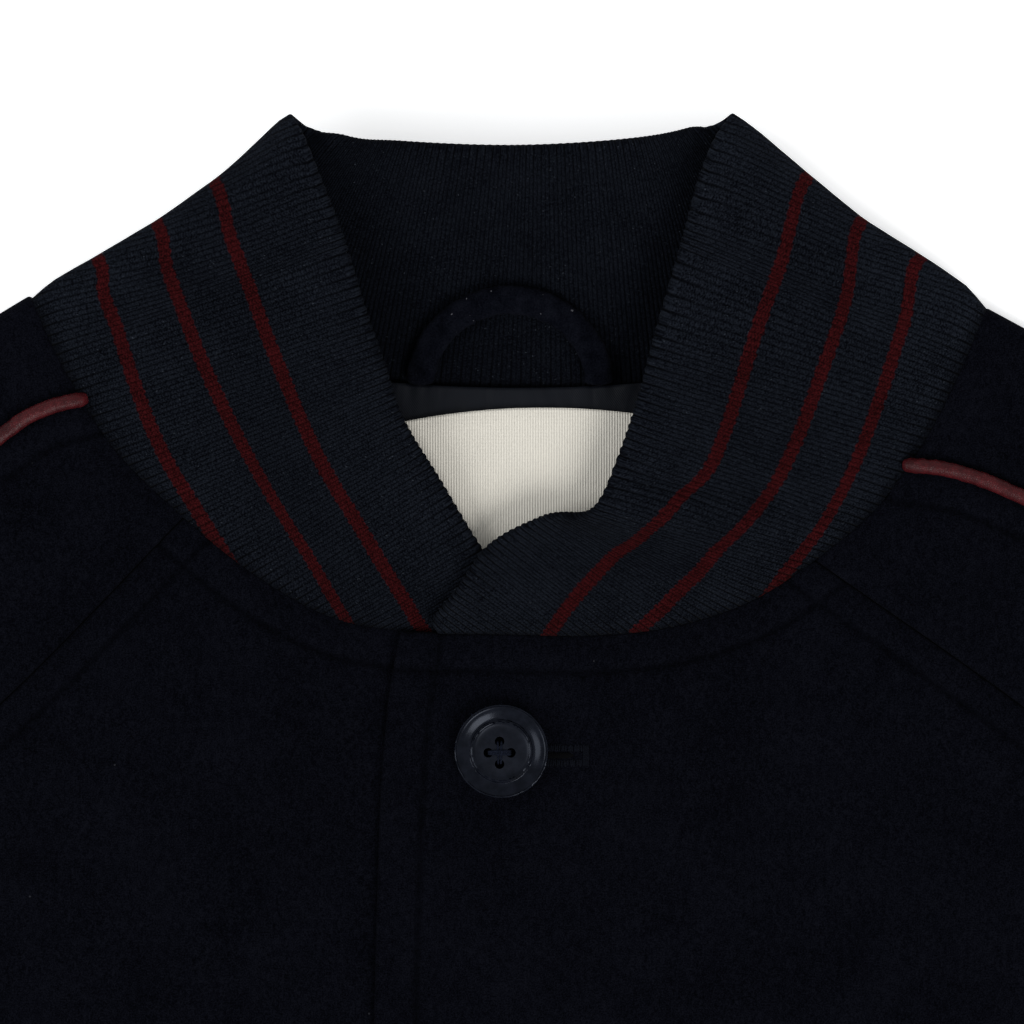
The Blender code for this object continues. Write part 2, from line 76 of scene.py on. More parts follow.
RIB_LAP_STEP = 1.45
BACK_LEVEL = WOOL_WALL / 2
FRONT_LEVEL = BACK_LEVEL + LAYER_STEP
RIB_BACK_LEVEL = RIB_WALL / 2
RIB_FRONT_LEVEL = RIB_BACK_LEVEL + LAYER_STEP
ROLL = LAYER_STEP / 2
SEAM_DROP = 1.5
SEAM_DROP_REACH = 14.0
FOLD_ANGLES = (0, 22, 45, 68)
TO_METRES = Matrix.Diagonal((0.001, 0.001, 0.001, 1))

# Body and trim
HEM_SEAM_Y = -552.0
HEM_END_Y = -620.0
BODY_HALF_WIDTH = 256.0
HEM_HALF_WIDTH = 242.0
ARMPIT = (262.0, -215.0)
CUFF_LENGTH = 70.0
CUFF_SEAM_HALF = 60.0
CUFF_END_HALF = 48.0
UNDER_EDGE_X = 26.0
RAGLAN_STEPS = 6
BELOW_STEPS = 8
ARM_STEPS = 7

NECK_RIGHT = ((28, 0), (0, 0), (-21.9, 0.2), (-40.4, 3.1), (-60, 13.5), (-77.2, 27.3),
              (-94.1, 44.2), (-105.7, 62.7), (-113.3, 79.1))
NECK_LEFT = ((-26, 0), (0, -0.3), (18.5, -0.6), (40, 1.8), (57.2, 7.6), (72.2, 17.2),
             (86.7, 29.5), (93.7, 38.4), (106.9, 62.7), (112.4, 76.2))
NECK_BACK = ((-113.3, 79.1), (-80, 67.5), (-40, 60), (0, 57.5), (40, 59.5), (80, 66.5), (112.4, 76.2))
RAGLAN_SHARE = {"right": 0.639, "left": 0.584}
PIPING_SHARE = {"right": 0.849, "left": 0.766}
BACK_RAGLAN_SHARE = {"right": 0.16, "left": 0.84}
OVER_ARM = ((172, 44), (232, 12), (300, -31), (365, -83), (421, -147), (505, -299), (586, -450))
FRONT_RAGLAN = ((122, -18), (170, -57), (210, -108), (241, -165), ARMPIT)
BACK_RAGLAN = ((140, 20), (200, -60), (240, -140), ARMPIT)
UNDER_ARM = (ARMPIT, (325, -305), (398, -410), (472, -516))
SIDE_SEAM = ((BODY_HALF_WIDTH, HEM_SEAM_Y), (259, -380), ARMPIT)
PIPING_FIRST = {
    "right": ((-107.2, 53.9), (-114.2, 51.1), (-121.1, 46.2)),
    "left": ((102.1, 38.8), (111.6, 36.2), (122.0, 31.8)),
}
PIPING_BESIDE = ((0.25, 30.0), (0.4, 27.0), (0.55, 25.0), (0.7, 24.0), (0.85, 24.0), (1.0, 24.0))
# The cord starts this far before the neck seam, sunk into it, and comes up over this distance; its
# rings stand closer together near the neck by this power
CORD_LEAD = 1.4
CORD_DIVE = 4.2
CORD_SINK = 1.2
CORD_SPACING = 1.4
CORD_STEPS = 440
LAP_EDGE = ((-26, 0), (-28, -10), (-30.4, -33), (-31.6, -65), (-33, -140), (-33, -300), (-33, HEM_SEAM_Y))

# The collar, a row for each rib line from the right end, which lies under, to the left end, which
# laps over: the run of the neck seam that the rib starts on, the share of that run, then the point
# where it meets the folded top edge: x, y and height
COLLAR_ROWS = (
    ("right", 0.074, 17.0, 1.4, 4.2),
    ("right", 0.147, 10.0, 3.2, 4.7),
    ("right", 0.260, 1.0, 10.5, 6.4),
    ("right", 0.371, -6.4, 20.0, 8.6),
    ("right", 0.496, -16.6, 36.8, 12.0),
    ("right", 0.618, -24.5, 49.9, 15.0),
    ("right", 0.755, -29.7, 64.8, 17.5),
    ("right", 0.852, -34.2, 77.9, 19.5),
    ("right", 0.932, -39.2, 93.8, 21.5),
    ("right", 0.968, -45.1, 109.2, 23.0),
    ("right", 0.988, -49.2, 120.2, 23.6),
    ("right", 1.000, -51.0, 123.5, 20.5),
    ("back", 0.012, -48.4, 121.0, 17.6),
    ("back", 0.100, -39.2, 117.6, 17.6),
    ("back", 0.280, -26.0, 116.2, 18.0),
    ("back", 0.500, 2.0, 115.2, 18.4),
    ("back", 0.720, 30.0, 117.0, 18.0),
    ("back", 0.900, 42.5, 119.4, 17.6),
    ("back", 0.988, 49.0, 121.4, 17.6),
    ("left", 1.000, 51.8, 123.6, 20.5),
    ("left", 0.988, 49.6, 120.4, 23.6),
    ("left", 0.962, 45.1, 109.3, 23.0),
    ("left", 0.940, 41.6, 96.9, 21.6),
    ("left", 0.900, 38.5, 86.2, 20.2),
    ("left", 0.847, 34.4, 72.2, 18.6),
    ("left", 0.749, 30.2, 56.5, 17.0),
    ("left", 0.650, 25.9, 43.2, 15.6),
    ("left", 0.572, 20.4, 30.6, 14.4),
    ("left", 0.409, 7.6, 27.6, 13.6),
    ("left", 0.269, -5.9, 20.2, 12.0),
    ("left", 0.163, -13.0, 10.2, 10.2),
    ("left", 0.050, -19.2, 2.6, 7.8),
)
COLLAR_CURL = 1.25
COLLAR_BANDS = 27

# Rib knit: wales stand in pairs, with a deep groove between pairs and a shallow one within each
PAIR_WIDTH = 2.42
COLUMNS_PER_PAIR = 7
COURSE = 0.72
PUFF = 0.14
EDGE_PUFF = 0.26
SHOULDER_EXTRA_PAIRS = 9.0
RIB_END_SWELL = 0.35
TRIM_ROWS = 12
TRIM_STEPS_IN = 4
HEM_COLUMNS_PER_PAIR = 5
CUFF_COLUMNS_PER_PAIR = 6
COLLAR_LINES_TRIED = 3000
STRIPE_MIDDLES = (24.4, 41.4, 58.4)
STRIPE_HALF = 1.6
# Millimetres of the band that puckers take up at places along each run, as shares of it: above the
# first stripe, the second and the third
EASED_IN = {
    "right": ((0.26, 0.5, 2.0, 2.0), (0.37, 1.9, 5.0, 4.5), (0.50, 1.8, 5.3, 4.5), (0.62, 1.9, 5.0, 4.0),
              (0.755, 0.3, 1.2, -0.2), (0.852, -0.4, -0.4, -0.6), (0.932, -1.5, -1.7, -1.0),
              (0.968, -2.0, -2.3, -1.9), (1.0, -1.1, -1.3, -1.2)),
    "left": ((0.27, -0.6, 0, 0), (0.41, 5.1, 4.4, 4.4), (0.572, 10.6, 9.8, 9.0), (0.65, 2.6, 4.1, 6.4),
             (0.75, 1.6, 1.5, 3.3), (0.847, 1.0, 0.0, 1.6), (0.90, 0.6, -0.9, 1.1), (0.94, -0.7, -1.6, 0.5),
             (0.962, -1.4, -1.9, -0.6), (1.0, -0.4, -0.2, -0.2)),
}
# How far the folds over the shoulders stand out, at shares of them from the neck seam up
SHOULDER_BOW = {
    "right": ((0.0, 0.0), (0.07, 0.5), (0.24, -1.0), (0.47, -2.7), (0.71, -2.9), (0.83, -1.9), (0.93, -0.8),
              (0.97, -0.8), (1.0, -1.5)),
    "left": ((0.0, 0.6), (0.07, 2.1), (0.23, 1.2), (0.47, -1.0), (0.7, -0.8), (0.9, -0.4),
             (0.96, -0.7), (1.0, -1.5)),
}

# Buttons and buttonholes
BUTTON_COUNT = 6
BUTTON_LINE_X = -4.0
HOLE_RADIUS = 1.13
HOLES_OFF = -0.4
HOLE_FROM_CENTRE = 2.7
# From the centre of the face out over its ring, dish and rim, and round the back: (radius, height)
BUTTON_PROFILE = ((0, 2.3), (3.5, 2.3), (6.1, 2.32), (6.45, 2.42), (6.8, 2.78), (7.05, 2.84), (7.25, 2.7),
                  (7.5, 2.42), (7.8, 2.42), (8.3, 2.6), (8.9, 2.86), (9.5, 3.06), (10.1, 3.16), (10.45, 3.2),
                  (10.68, 3.56), (10.88, 3.7), (11.06, 3.5), (11.15, 2.9), (10.9, 1.8), (9.6, 0.4), (8.0, 0),
                  (0, 0))
BUTTONHOLE_END = 18.2
BUTTONHOLE_HALF = 2.7
BUTTONHOLE_BELOW = 1.1
BUTTONHOLE_STITCH = 0.52
FACE_HEIGHT = BUTTON_PROFILE[0][1]
THREAD_PAST_HOLE = 0.25

# The inside of the neck
LABEL_HALF_WIDTH = 33.0
LABEL_MIDDLE_X = 3.0
LABEL_HIGH_POINT = (8.0, 53.2)
LABEL_LENGTH = 35.0
LABEL_BOW = 0.003
LABEL_WALL = 1.0
LINING_HALF_WIDTH = 41.0
LINING_END_Y = 16.0
LOOP_HALF_SPAN = 21.3
LOOP_RISE = 20.3
LOOP_START_Y = 58.3
LOOP_HALF_WIDTH = 3.4
LOOP_HALF_WALL = 1.25
LOOP_LIFT = 2.0

# Topstitching, as distances in from each seam or edge
NECK_STITCH = 9.0
RAGLAN_STITCH = 7.8
EDGE_STITCH = 10.0
PIPING_STITCH = 9.0
STITCH_LENGTH = 3.4

# Soft folds of the top layers: from (x, y) to (x, y), reach to each side, and height
FRONT_FOLDS = (
    (-60, -60, -150, -250, 26, 1.5), (-95, -30, -190, -140, 15, 0.9), (-40, -120, -70, -330, 20, -0.8),
    (60, -40, 150, -190, 22, 1.4), (100, -20, 185, -120, 14, -0.7), (50, -150, 90, -400, 24, 1.1),
    (-120, -300, -190, -520, 30, 1.7), (140, -320, 200, -530, 26, 1.5), (-60, -420, -110, -540, 18, -0.9),
    (210, -240, 120, -300, 18, 1.9), (-215, -235, -110, -310, 20, 2.1), (-228, -262, -150, -380, 13, -0.8),
    (70, -470, 60, -548, 14, 1.0), (225, -270, 170, -400, 14, -0.9), (-170, -440, -150, -548, 13, 1.2),
)
SLEEVE_FOLDS = (
    (150, -20, 260, -110, 20, 1.6), (235, -95, 330, -250, 22, 2.4), (285, -120, 360, -200, 13, -0.8),
    (250, -190, 345, -180, 12, 2.0), (300, -250, 420, -230, 14, 2.2), (330, -300, 455, -300, 12, -0.8),
    (360, -350, 490, -350, 13, 2.0), (395, -400, 520, -415, 12, 1.7), (430, -455, 560, -470, 11, 1.5),
    (180, -60, 225, -130, 12, -0.7), (160, 22, 260, -30, 14, 1.0), (420, -240, 520, -430, 20, 1.2),
)
COLLAR_FOLDS = (
    (17, 30.5, 62, 27.0, 4.2, 2.0), (24, 38.5, 46, 34.0, 3.6, -1.9), (30, 47, 60, 52, 8, 0.7),
    (-60, 30, -40, 60, 9, 0.6), (-86, 55, -52, 92, 10, 0.7), (70, 45, 48, 88, 9, 0.6),
    (20, 14, 44, 12, 6, 0.6),
)


class Path:
    """A smooth curve through a few rows, followed by the distance along it."""

    def __init__(self, rows):
        self.rows = [Vector(row) for row in rows]
        self.marks = [0.0]
        for before, after in zip(self.rows, self.rows[1:]):
            self.marks.append(self.marks[-1] + (after - before).length)
        self.length = self.marks[-1]
        self.slopes = [self.slope_at(index) for index in range(len(self.rows))]

    def slope_at(self, index):
        """The curve's direction at a row, weighted to the nearer of its neighbours."""
        last = len(self.rows) - 1
        if index in (0, last):
            first = min(index, last - 1)
            return (self.rows[first + 1] - self.rows[first]) / (self.marks[first + 1] - self.marks[first])
        back = self.marks[index] - self.marks[index - 1]
        ahead = self.marks[index + 1] - self.marks[index]
        slope_back = (self.rows[index] - self.rows[index - 1]) / back
        slope_ahead = (self.rows[index + 1] - self.rows[index]) / ahead
        return (slope_back * ahead + slope_ahead * back) / (back + ahead)

    def between(self, index, t):
        """The point a share t of the way from one row to the next."""
        span = self.marks[index + 1] - self.marks[index]
        return (
            self.rows[index] * ((1 + 2 * t) * (1 - t) ** 2)
            + self.slopes[index] * (span * t * (1 - t) ** 2)
            + self.rows[index + 1] * (t * t * (3 - 2 * t))
            + self.slopes[index + 1] * (span * t * t * (t - 1))
        )

    def at(self, distance):
        """The point at a distance from the first row."""
        distance = min(max(distance, 0.0), self.length)
        index = 0
        while index < len(self.rows) - 2 and distance > self.marks[index + 1]:
            index += 1
        span = self.marks[index + 1] - self.marks[index]
        return self.between(index, (distance - self.marks[index]) / span)

    def stretch(self, start=0.0, end=1.0):
        """The part between two shares of the whole, as a function of 0 to 1."""
        return lambda t: self.at(self.length * (start + t * (end - start)))

    def beside(self, share, distance):
        """A point off to the right-hand side of the curve, seen along it."""
        ahead = self.at(self.length * min(share + 0.01, 1.0))
        behind = self.at(self.length * max(share - 0.01, 0.0))
        run = (ahead - behind).normalized()
        return self.at(self.length * share) + Vector((run.y, -run.x)) * distance


def chain(*stretches):
    """Stretches end to end, each with its number of steps, as one function of 0 to 1."""
    total = sum(steps for _, steps in stretches)

    def point(t):
        step = min(max(t, 0.0), 1.0) * total
        for stretch, steps in stretches[:-1]:
            if step <= steps:
                return stretch(step / steps)
            step -= steps
        stretch, steps = stretches[-1]
        return stretch(step / steps)

    return point


def straight(start, end):
    start, end = Vector(start), Vector(end)
    return lambda t: start.lerp(end, t)


def smooth(share):
    """A soft step from 0 to 1, of a number or of many."""
    share = np.clip(share, 0.0, 1.0)
    return share * share * (3 - 2 * share)


def panel(low, high, start, end, u, v, start_seam=True):
    """A point of the panel between four edges that meet at its corners, clear of its seams."""
    edge = SEAM_GAP / 2 / (high(0.5) - low(0.5)).length
    v = edge + v * (1 - 2 * edge)
    edge = SEAM_GAP / 2 / (end(v) - start(v)).length
    u = edge + u * (1 - 2 * edge) if start_seam else u * (1 - edge)
    across = start(v).lerp(end(v), u)
    along = low(u).lerp(high(u), v)
    corners = low(0).lerp(low(1), u).lerp(high(0).lerp(high(1), u), v)
    return across + along - corners


def rolled(depth):
    """How far a layer stands from the middle of a rolled fold, this deep inside its edge."""
    if depth >= ROLL:
        return ROLL
    return math.sqrt(max(ROLL**2 - (ROLL - depth) ** 2, 0.0))


def fold_depths():
    """Depths inside a rolled edge that give even steps round it, edge first."""
    return [ROLL * (1 - math.cos(math.radians(angle))) for angle in FOLD_ANGLES]


def lap_change(side, x, step):
    """How far a front is pressed under, or lifted over, the other near the centre."""
    if side == "right":
        return -step * smooth((x + 62) / 26)
    return step * smooth((56 - x) / 26)


def seam_drop(depth):
    """How far a top layer comes down towards its seam with the back, this deep inside it."""
    return SEAM_DROP * (1 - smooth(depth / SEAM_DROP_REACH))


class Half:
    """The seams and outline of one half of the jacket."""

    def __init__(self, side):
        sign = 1 if side == "left" else -1
        self.side = side
        self.sign = sign
        self.neck = Path(NECK_LEFT if side == "left" else NECK_RIGHT)
        self.over = Path([self.neck.rows[-1]] + self.mirrored(OVER_ARM))
        self.under = Path(self.mirrored(UNDER_ARM))
        self.side_seam = Path(self.mirrored(SIDE_SEAM))
        raglan_top = self.neck.at(self.neck.length * RAGLAN_SHARE[side])
        self.front_raglan = Path([raglan_top] + self.mirrored(FRONT_RAGLAN))
        back_top = back_neck.at(back_neck.length * BACK_RAGLAN_SHARE[side])
        self.back_raglan = Path([back_top] + self.mirrored(BACK_RAGLAN))
        piping_top = self.neck.at(self.neck.length * PIPING_SHARE[side])
        beside = [self.over.beside(share, sign * distance) for share, distance in PIPING_BESIDE]
        self.piping = Path([piping_top, *PIPING_FIRST[side]] + beside)

    def mirrored(self, rows):
        return [Vector((self.sign * x, y)) for x, y in rows]

    def sleeve_seam(self, raglan):
        """A sleeve panel's lower edge, from the neck down: raglan, then under the arm."""
        return chain((raglan.stretch(), RAGLAN_STEPS), (self.under.stretch(), ARM_STEPS))

    def body_seam(self, raglan):
        """A body panel's outer edge, from the hem up: side seam, then raglan."""
        return chain((self.side_seam.stretch(), BELOW_STEPS), (raglan.stretch(1, 0), RAGLAN_STEPS))


class Value:
    """A number that a material works out, which adds its Math nodes as it is used."""

    def __init__(self, socket):
        self.socket = socket

    def math(self, operation, *others):
        tree = self.socket.id_data
        node = tree.nodes.new("ShaderNodeMath")
        node.operation = operation
        for place, value in zip(node.inputs, (self, *others)):
            if isinstance(value, Value):
                tree.links.new(value.socket, place)
            else:
                place.default_value = value
        return Value(node.outputs[0])

    def __add__(self, other):
        return self.math("ADD", other)

    def __sub__(self, other):
        return self.math("SUBTRACT", other)

    def __rsub__(self, other):
        return self.math("MULTIPLY", -1.0).math("ADD", other)

    def __mul__(self, other):
        return self.math("MULTIPLY", other)

    def __truediv__(self, other):
        return self.math("DIVIDE", other)

    def __mod__(self, other):
        return self.math("FLOORED_MODULO", other)

    def __abs__(self):
        return self.math("ABSOLUTE")

    __radd__ = __add__
    __rmul__ = __mul__

    def floor(self):
        return self.math("FLOOR")

    def sine(self):
        return self.math("SINE")


class Finish:
    """A material in the making: its nodes and the shader that they feed."""

    def __init__(self, name, **fixed):
        self.material = bpy.data.materials.new(name)
        self.material.use_nodes = True
        self.tree = self.material.node_tree
        self.shader = self.tree.nodes["Principled BSDF"]
        for socket, value in fixed.items():
            self.shader.inputs[socket.replace("_", " ")].default_value = value

    def feed(self, socket, value):
        if isinstance(value, Value):
            self.tree.links.new(value.socket, socket)
        elif isinstance(value, bpy.types.NodeSocket):
            self.tree.links.new(value, socket)
        else:
            socket.default_value = value

    def node(self, kind, settings=None, inputs=None):
        """A node of this kind, its settings made before its sockets are fed."""
        node = self.tree.nodes.new("ShaderNode" + kind)
        for name, value in (settings or {}).items():
            setattr(node, name, value)
        for name, value in (inputs or {}).items():
            self.feed(node.inputs[name], value)
        return node

    def where(self):
        """The place on the jacket, in metres."""
        return self.node("TexCoord").outputs["Object"]

    def parts(self, vector):
        """The three numbers of a vector."""
        return [Value(socket) for socket in self.node("SeparateXYZ", None, {"Vector": vector}).outputs]

    def knit_map(self):
        """The piece's own map: pairs of wales across, and millimetres from the fold."""
        return self.parts(self.node("UVMap", {"uv_map": "knit"}).outputs["UV"])[:2]

    def noted(self, name):
        """What the piece's vertices note under this name."""
        return self.parts(self.node("Attribute", {"attribute_name": name}).outputs["Vector"])

    def noise(self, size, detail=2.0, rough=0.5, where=None, stretch=None):
        """Noise whose blots are about this many millimetres across."""
        place = self.where() if where is None else where
        if stretch:
            place = self.node("Mapping", None, {"Vector": place, "Scale": stretch}).outputs["Vector"]
        inputs = {"Vector": place, "Scale": 1000 / size, "Detail": detail, "Roughness": rough}
        return Value(self.node("TexNoise", None, inputs).outputs["Fac"])

    def ease(self, value, low, high, start=0.0, end=1.0):
        """A soft step of a value, from start at low to end at high."""
        inputs = {"Value": value, "From Min": low, "From Max": high, "To Min": start, "To Max": end}
        return Value(self.node("MapRange", {"interpolation_type": "SMOOTHSTEP"}, inputs).outputs["Result"])

    def blend(self, first, second, factor):
        """A colour between two others."""
        node = self.node("Mix", {"data_type": "RGBA"})
        self.feed(node.inputs[0], factor)
        for socket, colour in zip(node.inputs[6:8], (first, second)):
            self.feed(socket, (*colour, 1) if isinstance(colour, tuple) else colour)
        return node.outputs[2]

    def relief(self, height, strength=1.0):
        """The surface's normal under a relief whose height is in millimetres."""
        inputs = {"Strength": strength, "Distance": 0.001, "Height": height}
        return self.node("Bump", None, inputs).outputs["Normal"]

    def wear(self, **sockets):
        """Feeds the shader's own sockets, and gives the material."""
        for name, value in sockets.items():
            self.feed(self.shader.inputs[name.replace("_", " ")], value)
        return self.material


def groove(finish, line, distance, half_width):
    """How much of a stitched groove is here, 0 to 1, and the ripple of its stitches."""
    away, along, _ = finish.noted(line)
    inside = 1 - finish.ease(abs(away - distance), 0.0, half_width)
    ripple = (along * (2 * math.pi / STITCH_LENGTH)).sine() * 0.5 + 0.5
    return inside, ripple


def make_wool():
    """Fulled melton: a short nap over a weave that no longer shows, with a little lint."""
    finish = Finish("melton_wool", Specular_IOR_Level=0.012, Sheen_Weight=0.003, Sheen_Roughness=0.55)
    fibre = finish.noise(0.36, 3.0, 0.7)
    nap = finish.noise(1.3, 2.0, 0.6, stretch=(1.0, 0.6, 1.0))
    cloud = finish.noise(14.0, 2.0)
    dense = fibre * 0.68 + nap * 0.20 + cloud * 0.12
    dark, light = (0.0003, 0.0004, 0.0011), (0.0040, 0.0044, 0.0074)
    colour = finish.blend(dark, light, finish.ease(dense, 0.36, 0.68))
    height = fibre * 0.26 + nap * 0.20
    pressed = None
    for line, distance in (("neck_line", NECK_STITCH), ("raglan_line", RAGLAN_STITCH),
                           ("edge_line", EDGE_STITCH), ("piping_line", PIPING_STITCH)):
        inside, ripple = groove(finish, line, distance, 1.7)
        height = height - inside * (0.22 + ripple * 0.26)
        pressed = inside if pressed is None else pressed.math("MAXIMUM", inside)
    # Painted shade: the colour darkens in the topstitched troughs
    colour = finish.blend(colour, (0.0002, 0.0003, 0.0007), pressed * (0.25 + fibre * 0.35))
    specks = finish.node("TexVoronoi", None, {"Vector": finish.where(), "Scale": 150.0})
    chance = finish.parts(specks.outputs["Color"])[0]
    near = 1 - finish.ease(Value(specks.outputs["Distance"]), 0.015, 0.05)
    lint = near * finish.ease(chance, 0.86, 0.92) * finish.ease(fibre, 0.35, 0.5)
    colour = finish.blend(colour, (0.026, 0.027, 0.032), lint * 0.8)
    return finish.wear(Base_Color=colour, Roughness=0.9 + fibre * 0.1, Normal=finish.relief(height, 0.9))


def make_rib(name, stripes):
    """Rib knit: wales in pairs with looped courses across them, and stripes near the fold."""
    finish = Finish(name, Specular_IOR_Level=0.015, Sheen_Weight=0.006, Sheen_Roughness=0.5)
    pair, deep = finish.knit_map()
    outer, plump, tone = finish.noted("band")
    pair = pair + finish.noise(5.0, 2.0) * 0.10 - 0.05
    wale = pair * 2
    across = abs(wale % 1.0 - 0.5) * 2
    lie = finish.node("CombineXYZ", None, {"X": pair * (PAIR_WIDTH / 1000), "Y": deep * 0.00055})
    fuzz = finish.noise(0.36, 3.0, 0.7, where=lie.outputs["Vector"]) * 0.6
    fuzz = fuzz + finish.noise(0.45, 3.0, 0.75) * 0.4
    yarn_lie = finish.noise(1.1, 2.0, 0.6)
    patch = finish.noise(9.0, 2.0)
    from_groove = 0.5 - abs(pair % 1.0 - 0.5)
    deep_groove = (1 - finish.ease(from_groove, 0.02, 0.13)) * finish.ease(yarn_lie, 0.25, 0.5)
    fine_groove = finish.ease(across, 0.45, 0.95) * finish.ease(fuzz, 0.72, 0.42)
    course = deep / COURSE + across * 0.5 + wale.floor() * 0.37 + yarn_lie * 1.4
    loop = (course * (2 * math.pi)).sine() * 0.5 + 0.5
    light = finish.ease(fuzz * 0.70 + loop * 0.07 + yarn_lie * 0.15 + patch * 0.08, 0.38, 0.63)
    # Painted light and shade: tone, noted on the collar's band, lightens and darkens the knit's colour
    colour = finish.blend((0.0004, 0.0005, 0.0013), (0.0098, 0.0122, 0.0176), light * tone)
    # Painted shade: the colour darkens in the grooves between the wales, more where the ribs stand plump, and
    # on the stripes too
    shade = (deep_groove * (0.34 + plump * 0.60)).math("MAXIMUM", fine_groove * (0.78 - plump * 0.35))
    colour = finish.blend(colour, (0.0003, 0.0004, 0.0009), shade)
    lint = finish.ease(finish.noise(0.75, 2.0, 0.5, stretch=(1.0, 1.6, 1.0)), 0.70, 0.77)
    colour = finish.blend(colour, (0.034, 0.040, 0.050), lint * 0.7)
    if stripes:
        strayed = deep + (yarn_lie - 0.5) * 0.8 + (fuzz - 0.5) * 0.7 + (wale.floor() % 2.0) * 0.25
        stripe = None
        for middle in STRIPE_MIDDLES:
            inside = finish.ease(abs(strayed - middle), STRIPE_HALF + 0.12, STRIPE_HALF - 0.12)
            stripe = inside if stripe is None else stripe.math("MAXIMUM", inside)
        dark_wine, light_wine = (0.0042, 0.0008, 0.0010), (0.042, 0.0046, 0.0056)
        # The stripes carry half of the same painted light and shade
        wine = finish.blend(dark_wine, light_wine, light * (tone * 0.5 + 0.5))
        wine = finish.blend(wine, (0.0030, 0.0005, 0.0007), shade * 0.6)
        colour = finish.blend(colour, wine, stripe * finish.ease(outer, 0.4, 0.6))
    height = 0.20 * (1 - across * across) - deep_groove * (0.08 + plump * 0.34) + loop * 0.03 + fuzz * 0.24
    return finish.wear(Base_Color=colour, Roughness=0.88 + fuzz * 0.12, Normal=finish.relief(height, 0.8))


def make_leather():
    """Burgundy leather round a cord: fine grain, creases across it and worn patches."""
    finish = Finish("piping_leather", Specular_IOR_Level=0.17)
    inputs = {"Vector": finish.where(), "Scale": 1900.0}
    grain = finish.node("TexVoronoi", {"feature": "DISTANCE_TO_EDGE"}, inputs)
    pebble = finish.ease(Value(grain.outputs["Distance"]), 0.0, 0.35)
    pull = finish.noise(1.5, 3.0, 0.6)
    blot = finish.noise(6.0, 2.0)
    worn = finish.ease(blot * 0.5 + pull * 0.5, 0.3, 0.7)
    colour = finish.blend((0.036, 0.0034, 0.0046), (0.084, 0.0082, 0.0105), worn)
    colour = finish.blend((0.012, 0.0018, 0.0028), colour, 0.45 + pebble * 0.55)
    height = pebble * 0.06 + pull * 0.22
    return finish.wear(Base_Color=colour, Roughness=0.27 + pull * 0.2, Normal=finish.relief(height, 0.7))


def make_satin():
    """Lining satin: a fine twill with a soft gloss and pulled puckers."""
    finish = Finish("lining_satin", Specular_IOR_Level=0.10, Sheen_Weight=0.006, Sheen_Roughness=0.4)
    x, y, _ = finish.parts(finish.where())
    twill = ((x + y * 0.7) * (2 * math.pi / 0.00052)).sine() * 0.5 + 0.5
    pucker = finish.noise(3.2, 2.0, 0.5, stretch=(1.0, 0.35, 1.0))
    grey = finish.noise(5.0, 2.0)
    dark, light = (0.0016, 0.0022, 0.0038), (0.0050, 0.0062, 0.0098)
    colour = finish.blend(dark, light, grey * 0.5 + twill * 0.5)
    height = twill * 0.05 + pucker * 0.5
    return finish.wear(Base_Color=colour, Roughness=0.4 + grey * 0.15, Normal=finish.relief(height, 0.7))


def make_loop_cloth():
    """The loop's soft, dark cloth, with a fine weave and a little lint."""
    finish = Finish("loop_cloth", Specular_IOR_Level=0.015, Sheen_Weight=0.004, Sheen_Roughness=0.5)
    fibre = finish.noise(0.4, 3.0, 0.65)
    cloud = finish.noise(3.5, 2.0)
    dark, light = (0.0004, 0.0006, 0.0016), (0.0044, 0.0050, 0.0082)
    colour = finish.blend(dark, light, finish.ease(fibre * 0.6 + cloud * 0.4, 0.3, 0.75))
    lint = finish.ease(finish.noise(1.3, 2.0, 0.5), 0.735, 0.76)
    colour = finish.blend(colour, (0.09, 0.09, 0.10), lint * 0.7)
    height = fibre * 0.22 + cloud * 0.3
    return finish.wear(Base_Color=colour, Roughness=0.9 + fibre * 0.1, Normal=finish.relief(height, 0.8))


def make_grosgrain():
    """Off-white grosgrain: fine upright ribs, a hair of colour between the threads."""
    finish = Finish("label_grosgrain", Specular_IOR_Level=0.2, Sheen_Weight=0.03, Sheen_Roughness=0.5)
    x, y, _ = finish.parts(finish.where())
    rib = (x * (2 * math.pi / 0.00063)).sine() * 0.5 + 0.5
    pick = (y * (2 * math.pi / 0.00034)).sine() * 0.5 + 0.5
    thread = finish.noise(0.5, 2.0, 0.6)
    dark, light = (0.58, 0.55, 0.485), (0.775, 0.735, 0.65)
    ivory = finish.blend(dark, light, finish.ease(rib * 0.75 + thread * 0.35, 0.1, 0.8))
    height = rib * 0.16 + pick * 0.05 + thread * 0.06
    return finish.wear(Base_Color=ivory, Roughness=0.62 + thread * 0.2, Normal=finish.relief(height, 0.8))


def make_resin():
    """Navy button resin: faint clouds inside, finely scratched."""
    finish = Finish("button_resin", Specular_IOR_Level=0.13, IOR=1.5, Specular_Tint=(0.74, 0.82, 1.0, 1))
    cloud = finish.noise(3.0, 3.0, 0.6)
    scratch = finish.noise(0.5, 2.0, 0.5, stretch=(1.0, 6.0, 1.0))
    matt = finish.noted("matt")[0]
    dark, light = (0.0010, 0.0014, 0.0030), (0.0040, 0.0048, 0.0082)
    colour = finish.blend(dark, light, finish.ease(cloud, 0.3, 0.7))
    rough = 0.16 + matt * 0.3 + scratch * 0.08
    height = scratch * 0.006 + cloud * 0.02
    return finish.wear(Base_Color=colour, Roughness=rough, Normal=finish.relief(height, 0.6))


def make_thread(name, dark, light):
    """Twisted sewing thread."""
    finish = Finish(name, Specular_IOR_Level=0.04, Sheen_Weight=0.004, Sheen_Roughness=0.5)
    fibre = finish.noise(0.25, 2.0, 0.6)
    colour = finish.blend(dark, light, finish.ease(fibre, 0.3, 0.7))
    relief = finish.relief(fibre * 0.15, 0.8)
    return finish.wear(Base_Color=colour, Roughness=0.7 + fibre * 0.2, Normal=relief)


